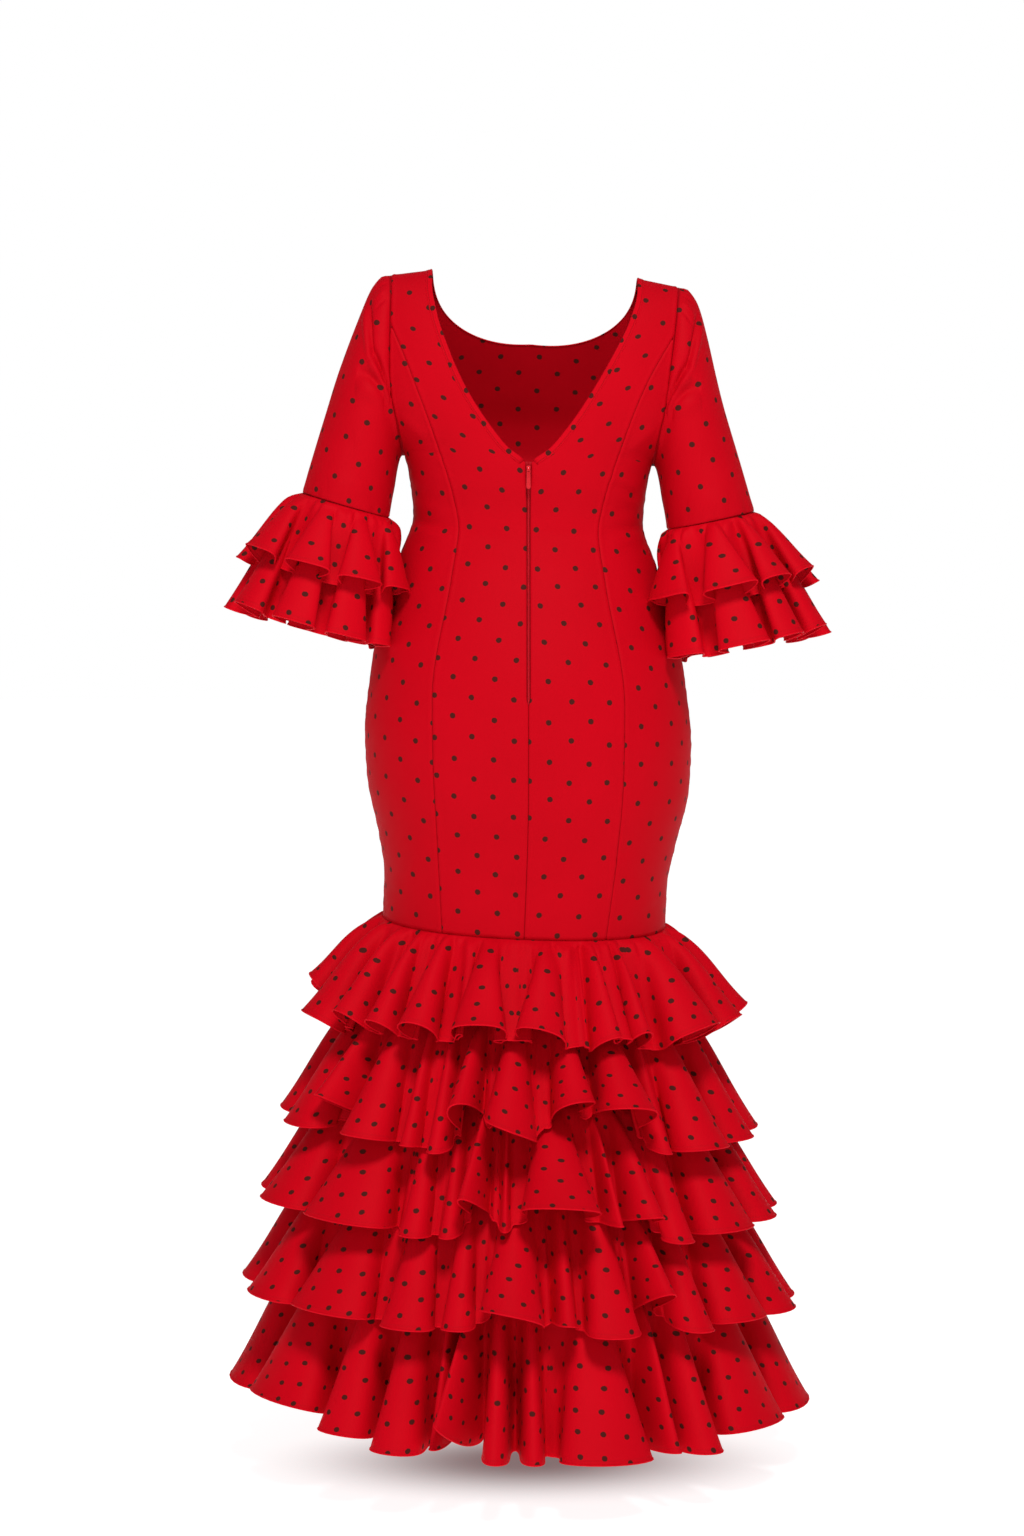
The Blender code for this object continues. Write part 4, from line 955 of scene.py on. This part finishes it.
    def surface(self, columns_each):
        phase = np.linspace(0, len(self.reaches), len(self.reaches) * columns_each + 1)
        below = self.rows()
        seam_at, hem_at = self.seam_angle(phase), self.hem_angle(phase)
        reach = self.reach(phase)
        if self.least is not None:
            least = self.least(hem_at, self.fall(reach, phase))
            reach = (reach + least + np.sqrt((reach - least) ** 2 + REST_EASE**2)) / 2
        out = self.out(seam_at)
        start = self.seam(seam_at) + self.off * out
        aside = self.seam(hem_at) + (self.off + reach)[:, None] * self.out(hem_at) - start
        aside = aside - (aside @ self.down)[:, None] * self.down
        fall = self.fall(np.sqrt((aside**2).sum(-1)), phase)
        hang = aside + fall[:, None] * self.down
        v = (below / self.kind.length)[:, None]
        run = lengths_along(start[None], 1)
        lift = self.puffed(phase, v) + self.gathers(run, below[:, None])
        lift = lift - (self.off - SEAM_OFF) * (1 - ease(below / TURNED_IN))[:, None]
        return start + v[..., None] * hang + lift[..., None] * out, below

    def flat_cut(self, points, below):
        """The layout as a sector of a ring, with each flute straight below the middle of its seam."""
        seam_run = lengths_along(points[:1], 1)[0]
        hem_run = lengths_along(points[-1:], 1)[0]
        length = self.kind.length
        inner = length * seam_run[-1] / (hem_run[-1] - seam_run[-1])
        columns = np.arange(len(seam_run))
        each = (len(seam_run) - 1) // len(self.reaches)
        middle = np.minimum(columns // each, len(self.reaches) - 1) * each + each // 2
        share = (below / length)[:, None]
        at_seam = (seam_run - seam_run[middle]) / inner
        at_hem = (hem_run - hem_run[middle]) / (inner + length)
        turn = hem_run[middle] / (inner + length) + (1 - share) * at_seam + share * at_hem
        radius = (inner + below)[:, None]
        flat = np.stack([radius * np.sin(turn), -radius * np.cos(turn)], axis=-1)
        edge = np.stack(np.broadcast_arrays(hem_run[None], (length - below)[:, None]), axis=-1)
        return flat, edge, float(hem_run[-1]), float(seam_run[-1])

    def build(self, node, columns_each, finish, turned=False):
        points, below = self.surface(columns_each)
        flat, edge, hem_long, seam_long = self.flat_cut(points, below)
        points = finish(points)
        ways = {"closed": True, "turned": turned}
        piece = cloth(node, "cloth", points, flat, edge, ruffle_crepe(), RUFFLE_CREPE, **ways)
        hem = tube_mesh(node + "_hem", posed(points[-1, :-1]), HEM_RADIUS)
        hem = piece_of(node + "_hem", hem, hem_crepe())


def skirt_flutes(kind, seed, below=None):
    """The flutes of a skirt flounce, whose hem stays clear of the flounce below it."""

    def seam_drop(flounce, angle):
        return flounce.drop - flounce.rise * np.maximum(np.cos(angle), 0) ** 2

    def least(angle, fall):
        """How far the flounce below stands out from this one's seam line, at the level of this one's hem."""
        mine, its = seam_drop(kind, angle), seam_drop(below.kind, angle)
        phase = np.linspace(0, len(below.reaches), len(below.reaches) * REST_SAMPLES + 1)[None, :]
        share = np.clip((mine + fall - its)[:, None] / below.fall(below.reach(phase), phase), 0, 1)
        turned = (1 - share) * below.seam_angle(phase) + share * below.hem_angle(phase)
        beside = np.abs((turned - angle[:, None] + np.pi) % (2 * np.pi) - np.pi)
        stands = share * below.reach(phase) + below.puffed(phase, share)
        stands = np.where(beside < REST_WIDTH, stands, 0).max(axis=1)
        apart = ring(angle, its) - ring(angle, mine)
        return stands + np.hypot(apart[..., 0], apart[..., 1]) + RESTS_CLEAR

    return Flutes(
        kind,
        lambda angle: ring(angle, seam_drop(kind, angle)),
        lambda angle: ring_out(angle, seam_drop(kind, angle)),
        np.array([0.0, 0.0, -1.0]),
        FLOUNCE_OFF,
        seed,
        None if below is None else least,
    )


def flounces():
    """From the lowest one up, since each hem stays clear of the flounce below it."""
    below = None
    for index, kind in enumerate(reversed(FLOUNCES)):
        below = skirt_flutes(kind, FLOUNCE_SEED * (index + 1), below)
        below.build(kind.name, FLUTE_COLUMNS, lambda points: points)


def underskirt():
    drop = np.linspace(UNDERSKIRT_TOP, UNDERSKIRT_END, UNDERSKIRT_ROWS)[:, None]
    angle = np.linspace(-np.pi, np.pi, UNDERSKIRT_COLUMNS)[None, :]
    back = UNDERSKIRT_COLUMNS // 2
    points = ring(angle, drop)
    run = lengths_along(points, 1)
    down = lengths_along(points[:, back : back + 1], 0)
    flat = np.stack([run - run[:, back : back + 1], -down + 0 * run], axis=-1)
    edge = np.stack([run, down[-1:] - down + 0 * run], axis=-1)
    piece = cloth("underskirt", "cloth", points, flat, edge, crepe(), CREPE, closed=True)


def cuff_flutes(kind, off, seed):
    """The flutes of a ruffle at the left sleeve's end. off is how far its cloth lies off the sleeve's."""
    outer, under = sleeve_point(np.array([0.0, np.pi]), np.ones(2))
    across = unit(outer - under)
    down = np.array([-across[2], 0, across[0]])
    down = -down if down[2] > 0 else down

    def seam(angle):
        return sleeve_point(angle, np.ones_like(angle)) + CUFF_GAP * down

    def out(angle):
        along = unit(seam(angle + SMALL_STEP) - seam(angle - SMALL_STEP))
        return np.cross(down, along)

    return Flutes(kind, seam, out, down, off, seed, hidden=Flute(0, 1.0, 0, FRONT_LIFT))


def beside_body(points, clear):
    """Points moved sideways until they lie clear of the dress's left side."""
    x, y, z = np.moveaxis(points, -1, 0)
    drop = -z
    depth = np.where(y > 0, read(RINGS, "back", drop), read(RINGS, "front", drop))
    square = read(RINGS, "square", drop)
    edge = np.maximum(1 - (np.abs(y) / depth) ** square, 0) ** (1 / square)
    least = read(RINGS, "half", drop) * edge + clear
    pressed = (x + least + np.sqrt((x - least) ** 2 + PRESS_EASE**2)) / 2
    return np.stack([np.where(np.abs(y) < depth, pressed, x), y, z], axis=-1)


def cuffs():
    for kind, off, clear, lift in zip(CUFFS, (SEAM_OFF, FLOUNCE_OFF), PRESSED_CLEAR, CUFF_LIFTS):
        for index, (word, side) in enumerate(SIDES):

            def finish(points, clear=clear, side=side):
                return mirrored(beside_body(points, clear), side)

            lifts = (lift, lift, lift, lift, lift + UNDERARM_LIFT, 0.0)
            rows = zip(CUFF_TROUGHS[word], CUFF_REACHES, CUFF_LEANS[word], lifts)
            worn = kind._replace(flutes=tuple(Flute(*row) for row in rows))
            flutes = cuff_flutes(worn, off, CUFF_SEED + 3 * index + len(kind.name))
            flutes.build(f"{kind.name}_{word}", CUFF_FLUTE_COLUMNS, finish, turned=side > 0)


# --- materials ---

# The hems' red is lighter: a painted highlight on the rolled hems and on the stitch threads.
RED, RED_DEEP, RED_HEM_HIGHLIGHT = (0.67, 0.0014, 0.0105, 1), (0.57, 0.0009, 0.0078, 1), (0.74, 0.004, 0.014, 1)
SHADED_BODY_RED, SHADED_BODY_RED_DEEP = (0.60, 0.0012, 0.0094, 1), (0.51, 0.0008, 0.0070, 1)  # darker copies of the red: a painted shade on the fitted pieces
RED_BETWEEN = (0.40, 0.002, 0.006, 1)  # between the threads
# Painted shade: a dark red in the seams' grooves, and another in the stitches' furrows.
RED_SEAM_SHADE, RED_FURROW_SHADE = (0.16, 0.001, 0.002, 1), (0.30, 0.002, 0.005, 1)
DOT_BROWN, DOT_WORN = (0.070, 0.009, 0.008, 1), (0.075, 0.014, 0.010, 1)
TAPE_RED, TAPE_RED_DEEP = (0.52, 0.005, 0.013, 1), (0.34, 0.003, 0.008, 1)
COIL_RED, COIL_RED_DEEP = (0.60, 0.006, 0.016, 1), (0.42, 0.004, 0.010, 1)
# The last enamel red is paler, a painted highlight on the hardware's edges.
ENAMEL, ENAMEL_DEEP, ENAMEL_EDGE_HIGHLIGHT = (0.72, 0.004, 0.012, 1), (0.60, 0.003, 0.010, 1), (0.80, 0.02, 0.03, 1)
PAPER, PAPER_DEEP, WHITE = (0.43, 0.46, 0.46, 1), (0.40, 0.43, 0.43, 1), (1.0, 1.0, 1.0, 1)
SEAM_LINE, SEAM_SHADE_DARKNESS = (0.0002, 0.0012), 0.55  # distances from a seam, and how dark its painted shade is there
BODY_PRINT = {"Period": 0.0478, "Scatter": 0.09}
RUFFLE_PRINT = {"Period": 0.0400, "Scatter": 0.22}
DOT_RADIUS = 0.0037
DOT_UNEVEN = 0.0005
DOT_CORE = 0.86  # the share of a dot's radius within which its colour is whole
WEAVE_HIGH, TAPE_WEAVE_HIGH = 0.00006, 0.0000001  # the tape is pressed almost flat
FURROW_DEEP, THREAD_HIGH = 0.00012, 0.00006
STITCH_INSET, STITCH_LONG, THREAD_WIDE = 0.0055, 0.0026, 0.00035
STITCH_FILLED = 0.38  # half of a stitch's share of its length
# Noises, each as its scale and its detail.
CLOTH_TONE, HEM_TONE, DOT_OUTLINE, DOT_WEAR = (9.0, 3.0), (60.0, 2.0), (420.0, 2.0), (900.0, 3.0)
PEBBLES, COIL_TONE, ENAMEL_TONE, PAPER_TONE = (1100.0, 3.0), (500.0, 2.0), (240.0, 4.0), (3.0, 3.0)


class Nodes:
    """A node tree being built. A node's inputs, by name or number, are values or other nodes' outputs."""

    def __init__(self, tree):
        self.tree = tree

    def feed(self, sockets, inputs):
        for name, value in inputs.items():
            if isinstance(value, bpy.types.NodeSocket):
                self.tree.links.new(value, sockets[name])
            else:
                sockets[name].default_value = value

    def put(self, kind, inputs=None, **settings):
        """A new node's outputs."""
        made = self.tree.nodes.new("ShaderNode" + kind)
        for name, value in settings.items():
            setattr(made, name, value)
        self.feed(made.inputs, inputs or {})
        return made.outputs

    def math(self, operation, *values):
        return self.put("Math", dict(enumerate(values)), operation=operation)[0]

    def plus(self, first, second):
        return self.math("ADD", first, second)

    def minus(self, first, second):
        return self.math("SUBTRACT", first, second)

    def times(self, first, second):
        return self.math("MULTIPLY", first, second)

    def vector(self, operation, *values):
        made = self.put("VectorMath", dict(enumerate(values)), operation=operation)
        return made["Value" if operation == "LENGTH" else "Vector"]

    def parts(self, vector):
        return self.put("SeparateXYZ", {0: vector})

    def noise(self, at, scale, detail, **more):
        return self.put("TexNoise", {"Vector": at, "Scale": scale, "Detail": detail, **more})["Fac"]

    def range(self, value, low, high, first, last, smooth=False):
        """A value that goes from first at low to last at high."""
        inputs = {"Value": value, "From Min": low, "From Max": high, "To Min": first, "To Max": last}
        return self.put("MapRange", inputs, interpolation_type="SMOOTHSTEP" if smooth else "LINEAR")[0]

    def blend(self, share, first, second):
        """Two colours blended. They are the Mix node's sockets 6 and 7, and its output 2."""
        return self.put("Mix", {0: share, 6: first, 7: second}, data_type="RGBA")[2]

    def effect(self, name, **inputs):
        """A shared node group, placed with its inputs."""
        return self.put("Group", inputs, node_tree=GROUPS[name])

    def map(self, name):
        return self.put("UVMap", uv_map=name)[0]

    def bump(self, height):
        return self.put("Bump", {"Height": height, "Strength": 1.0, "Distance": 1.0})[0]


def group(name, inputs, outputs):
    """A node group with number sockets, but for an input given as None, which is a vector."""
    tree = bpy.data.node_groups.new(name, "ShaderNodeTree")
    for label, value in inputs.items():
        kind = "NodeSocketVector" if value is None else "NodeSocketFloat"
        socket = tree.interface.new_socket(label, in_out="INPUT", socket_type=kind)
        if value is not None:
            socket.default_value = value
    for label in outputs:
        tree.interface.new_socket(label, in_out="OUTPUT", socket_type="NodeSocketFloat")
    return Nodes(tree), tree.nodes.new("NodeGroupInput").outputs, tree.nodes.new("NodeGroupOutput").inputs


def polka_dots_group():
    """Round printed dots on a staggered lattice, a little uneven in place and outline."""
    inputs = {"Cloth": None, **BODY_PRINT, "Radius": DOT_RADIUS, "Uneven": DOT_UNEVEN}
    nodes, given, result = group("polka_dots", inputs, ("Mask", "Wear"))
    cloth_at, period = given["Cloth"], given["Period"]
    scaled = nodes.vector("DIVIDE", cloth_at, nodes.put("CombineXYZ", {0: period, 1: period, 2: period})[0])
    nearest = []
    for shift in (0.0, 0.5):
        place = nodes.vector("ADD", scaled, (shift, shift, 0.0))
        cell = nodes.vector("FLOOR", place)
        chance = nodes.put("TexWhiteNoise", {"Vector": cell}, noise_dimensions="2D")["Color"]
        chance = nodes.vector("SUBTRACT", chance, (0.5, 0.5, 0.5))
        moved = nodes.put("VectorMath", {0: chance, "Scale": given["Scatter"]}, operation="SCALE")[0]
        within = nodes.vector("SUBTRACT", nodes.vector("FRACTION", place), (0.5, 0.5, 0.0))
        within = nodes.vector("MULTIPLY", nodes.vector("ADD", within, moved), (1.0, 1.0, 0.0))
        nearest.append(nodes.times(nodes.vector("LENGTH", within), period))
    wobble = nodes.times(nodes.minus(nodes.noise(cloth_at, *DOT_OUTLINE), 0.5), given["Uneven"])
    apart = nodes.plus(nodes.math("MINIMUM", *nearest), nodes.times(wobble, 2.0))
    mask = nodes.range(apart, nodes.times(given["Radius"], DOT_CORE), given["Radius"], 1.0, 0.0)
    nodes.feed(result, {"Mask": mask, "Wear": nodes.times(mask, nodes.noise(cloth_at, *DOT_WEAR))})
    return nodes.tree


def crepe_weave_group():
    """The fine twill of the crepe and its pebbled grain, as a height and as a shade."""
    inputs = {"Cloth": None, "Thread": 0.0007, "Grain": 0.5}
    nodes, given, result = group("crepe_weave", inputs, ("Height", "Shade"))
    parts = nodes.parts(given["Cloth"])
    across = nodes.math("DIVIDE", nodes.plus(parts[0], parts[1]), given["Thread"])
    along = nodes.math("DIVIDE", nodes.minus(parts[0], parts[1]), given["Thread"])
    twill = nodes.times(nodes.math("SINE", nodes.times(across, 2 * math.pi)), 0.35)
    broken = nodes.times(nodes.math("SINE", nodes.times(along, 0.9 * math.pi)), 0.15)
    pebbles = nodes.minus(nodes.noise(given["Cloth"], *PEBBLES, Roughness=0.6), 0.5)
    height = nodes.plus(nodes.plus(twill, broken), nodes.times(pebbles, given["Grain"]))
    nodes.feed(result, {"Height": height, "Shade": nodes.plus(nodes.times(height, 0.5), 0.5)})
    return nodes.tree


def edge_stitch_group():
    """A row of stitches along an edge, from a map of the distance along it and the distance from it."""
    inputs = {"Edge": None, "Inset": STITCH_INSET, "Stitch": STITCH_LONG, "Thread": THREAD_WIDE}
    nodes, given, result = group("edge_stitch", inputs, ("Thread", "Furrow"))
    parts = nodes.parts(given["Edge"])
    apart = nodes.math("ABSOLUTE", nodes.minus(parts[1], given["Inset"]))
    furrow = nodes.range(apart, 0.0, nodes.times(given["Thread"], 4.0), 1.0, 0.0, smooth=True)
    step = nodes.math("FRACT", nodes.math("DIVIDE", parts[0], given["Stitch"]))
    dash = nodes.math("LESS_THAN", nodes.math("ABSOLUTE", nodes.minus(step, 0.5)), STITCH_FILLED)
    thread = nodes.times(nodes.math("LESS_THAN", apart, given["Thread"]), dash)
    nodes.feed(result, {"Thread": thread, "Furrow": furrow})
    return nodes.tree


GROUPS = {made.name: made for made in (polka_dots_group(), crepe_weave_group(), edge_stitch_group())}


def material_of(name, colour, build, **constants):
    """A material made once. build gives what feeds the shader. The constants are the shader's own values."""
    made = bpy.data.materials.get(name)
    if made:
        return made
    made = bpy.data.materials.new(name)
    made.use_nodes = True
    made.diffuse_color = colour
    shader = made.node_tree.nodes["Principled BSDF"]
    for socket, value in constants.items():
        shader.inputs[socket.replace("_", " ")].default_value = value
    nodes = Nodes(made.node_tree)
    nodes.feed(shader.inputs, build(nodes))
    return made


def painted_seam_shade(nodes, red):
    """The red with a painted shade where the cloth turns down into a seam."""
    from_seam = nodes.parts(nodes.map(EDGE_MAP))[1]
    return nodes.blend(nodes.range(from_seam, *SEAM_LINE, SEAM_SHADE_DARKNESS, 0.0, smooth=True), red, RED_SEAM_SHADE)


def printed_crepe(nodes, inset=None, furrow=0.35):
    """The printed cloth, closely printed with stitches at an inset from its edge and painted shade in their
    furrow, or else with seams.
    """
    fitted = inset is None
    cloth_at = nodes.map(CLOTH_MAP)
    dots = nodes.effect("polka_dots", Cloth=cloth_at, **(BODY_PRINT if fitted else RUFFLE_PRINT))
    weave = nodes.effect("crepe_weave", Cloth=cloth_at)
    tone = nodes.noise(cloth_at, *CLOTH_TONE)
    # The fitted pieces take the darker red, a painted shade.
    red = nodes.blend(tone, *((SHADED_BODY_RED, SHADED_BODY_RED_DEEP) if fitted else (RED, RED_DEEP)))
    red = nodes.blend(nodes.times(weave["Shade"], 0.16), red, RED_BETWEEN)
    height = nodes.times(weave["Height"], WEAVE_HIGH)
    if fitted:
        red = painted_seam_shade(nodes, red)
    else:
        sewn = nodes.effect("edge_stitch", Edge=nodes.map(EDGE_MAP), Inset=inset)
        # Painted shade in the stitches' furrow, as strong as furrow says.
        red = nodes.blend(nodes.times(sewn["Furrow"], furrow), red, RED_FURROW_SHADE)
        # The threads take the lighter hem red, a painted highlight.
        red = nodes.blend(nodes.times(sewn["Thread"], 0.6), red, RED_HEM_HIGHLIGHT)
        height = nodes.minus(height, nodes.times(sewn["Furrow"], FURROW_DEEP))
        height = nodes.plus(height, nodes.times(sewn["Thread"], THREAD_HIGH))
    return {
        "Base Color": nodes.blend(dots["Mask"], red, nodes.blend(dots["Wear"], DOT_BROWN, DOT_WORN)),
        "Roughness": nodes.plus(nodes.times(weave["Shade"], 0.12), 0.50),
        "Normal": nodes.bump(height),
    }


def plain_crepe(nodes):
    """The cloth of a rolled hem, without its print, lighter as a painted highlight."""
    weave = nodes.effect("crepe_weave", Cloth=nodes.map(CLOTH_MAP), Thread=0.0006)
    red = nodes.blend(nodes.noise(nodes.map(EDGE_MAP), *HEM_TONE), RED_HEM_HIGHLIGHT, RED)
    return {
        "Base Color": nodes.blend(nodes.times(weave["Shade"], 0.2), red, RED_DEEP),
        "Roughness": nodes.plus(nodes.times(weave["Shade"], 0.15), 0.42),
        "Normal": nodes.bump(nodes.times(weave["Height"], WEAVE_HIGH)),
    }


SHEEN = {
    "Sheen_Weight": 0.05,
    "Sheen_Roughness": 0.4,
    "Sheen_Tint": (1.0, 0.03, 0.05, 1),
    "Specular_IOR_Level": 0.03,
}


def crepe():
    return material_of("printed_crepe", RED, printed_crepe, **SHEEN)


def ruffle_crepe():
    return material_of("hemmed_crepe", RED, lambda nodes: printed_crepe(nodes, STITCH_INSET), **SHEEN)


def band_crepe():
    # The band's stitch furrow takes a deeper painted shade.
    return material_of("neck_roll", RED, lambda nodes: printed_crepe(nodes, BAND_STITCH, 0.8), **SHEEN)


def hem_crepe():
    return material_of("rolled_hem", RED_HEM_HIGHLIGHT, plain_crepe, **SHEEN)


def tape_weave():
    def build(nodes):
        weave = nodes.effect("crepe_weave", Cloth=nodes.map(EDGE_MAP), Thread=0.0009, Grain=0.25)
        return {
            "Base Color": nodes.blend(weave["Shade"], TAPE_RED_DEEP, TAPE_RED),
            "Normal": nodes.bump(nodes.times(weave["Height"], TAPE_WEAVE_HIGH)),
        }

    return material_of("zip_tape_weave", RED, build, Roughness=0.62, Specular_IOR_Level=0.08)


def coil_plastic():
    def build(nodes):
        tone = nodes.noise(nodes.put("TexCoord")["Object"], *COIL_TONE)
        return {
            "Base Color": nodes.blend(tone, COIL_RED, COIL_RED_DEEP),
            "Roughness": nodes.plus(nodes.times(tone, 0.2), 0.25),
        }

    return material_of("coil_plastic", RED, build, Specular_IOR_Level=0.12)


def painted_metal():
    """Glossy red enamel, paler at its sharp edges as a painted highlight."""

    def build(nodes):
        tone = nodes.noise(nodes.put("TexCoord")["Object"], *ENAMEL_TONE)
        # A painted highlight along the pointed edges.
        edge_highlight = nodes.range(nodes.put("NewGeometry")["Pointiness"], 0.52, 0.58, 0.0, 1.0)
        return {
            "Base Color": nodes.blend(edge_highlight, nodes.blend(tone, ENAMEL, ENAMEL_DEEP), ENAMEL_EDGE_HIGHLIGHT),
            "Roughness": nodes.plus(nodes.times(tone, 0.12), 0.16),
        }

    gloss = {"Metallic": 0.6, "Coat_Weight": 0.15, "Coat_Roughness": 0.1, "Specular_IOR_Level": 0.25}
    return material_of("zip_enamel", RED, build, **gloss)


# --- the studio ---

FLOOR, FLOOR_REACH = -1.489, 14.0
AIR_LIGHT = 0.22
CAMERA_PLACE, CAMERA_AIM = (0.02, 4.7, -0.20), (0.02, 0.0, -0.609)
LENS, SENSOR = 88.8, 36.0
PAPER_GLOW = 0.91
# A painted shadow under the dress: there the paper glows less, over an ellipse of these half-lengths.
SHADE_LONG, SHADE_DEEP, SHADE_CORE, SHADE_GLOW = 0.36, 0.21, 0.1, 0.15
Softbox = namedtuple("Softbox", "name place aim size power")
SOFTBOXES = (
    Softbox("key_softbox", (-0.4, 3.8, 3.7), (0, 0, -0.6), 1.2, 215.0),
    Softbox("fill_softbox", (1.2, 4.5, 0.3), (0, 0, -0.9), 2.4, 20.0),
)


def floor_paper():
    def build(nodes):
        place = nodes.put("TexCoord")["Object"]
        apart = nodes.vector("MULTIPLY", place, (1 / SHADE_LONG, 1 / SHADE_DEEP, 0.0))
        apart = nodes.vector("LENGTH", apart)
        # The glow dims in a painted shadow under the dress.
        return {
            "Base Color": nodes.blend(nodes.noise(place, *PAPER_TONE), PAPER_DEEP, PAPER),
            "Emission Strength": nodes.range(apart, SHADE_CORE, 1.0, SHADE_GLOW, PAPER_GLOW, smooth=True),
        }

    matt = {"Emission_Color": WHITE, "Roughness": 0.9, "Specular_IOR_Level": 0.1}
    return material_of("studio_paper", PAPER, build, **matt)


def aimed(name, data, place, aim):
    """A lamp or a camera at a place, turned to what it's aimed at."""
    made = bpy.data.objects.new(name, data)
    made.location = place
    made.rotation_euler = (Vector(aim) - Vector(place)).to_track_quat("-Z", "Y").to_euler()
    bpy.context.scene.collection.objects.link(made)
    return made


def studio_air():
    """Even light that the camera sees as plain white."""
    world = bpy.data.worlds.new("studio_air")
    world.use_nodes = True
    nodes = Nodes(world.node_tree)
    strength = nodes.range(nodes.put("LightPath")["Is Camera Ray"], 0.0, 1.0, AIR_LIGHT, 1.0)
    nodes.feed(world.node_tree.nodes["Background"].inputs, {"Color": WHITE, "Strength": strength})
    bpy.context.scene.world = world


def studio_floor():
    corners = [(x * FLOOR_REACH, y * FLOOR_REACH, FLOOR) for x, y in ((-1, -1), (1, -1), (1, 1), (-1, 1))]
    mesh = bpy.data.meshes.new("studio_floor")
    mesh.from_pydata(corners, [], [(0, 1, 2, 3)])
    mesh.materials.append(floor_paper())
    floor = bpy.data.objects.new("studio_floor", mesh)
    bpy.context.scene.collection.objects.link(floor)


def studio():
    studio_air()
    studio_floor()
    for box in SOFTBOXES:
        data = bpy.data.lights.new(box.name, "AREA")
        data.size, data.energy = box.size, box.power
        aimed(box.name, data, box.place, box.aim)
    data = bpy.data.cameras.new("camera")
    data.sensor_fit, data.sensor_height, data.lens = "VERTICAL", SENSOR, LENS
    bpy.context.scene.camera = aimed("camera", data, CAMERA_PLACE, CAMERA_AIM)
    bpy.context.scene.view_settings.view_transform = "Standard"


# --- the whole dress ---


def zip_hardware():
    """The slider, its bail and its pull stay as they are, with softer edges and their enamel."""
    for node in ("zip_slider", "zip_bail", "zip_pull"):
        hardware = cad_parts[node]
        rounded = hardware.modifiers.new("rounded", "BEVEL")
        rounded.width, rounded.segments, rounded.limit_method = HARDWARE_ROUND, 3, "ANGLE"
        for material_slot in hardware.material_slots:
            material_slot.material = painted_metal()


body_panels()
neck_bands()
zip_tapes()
zip_teeth()
sleeves()
cuffs()
underskirt()
flounces()
zip_hardware()
studio()
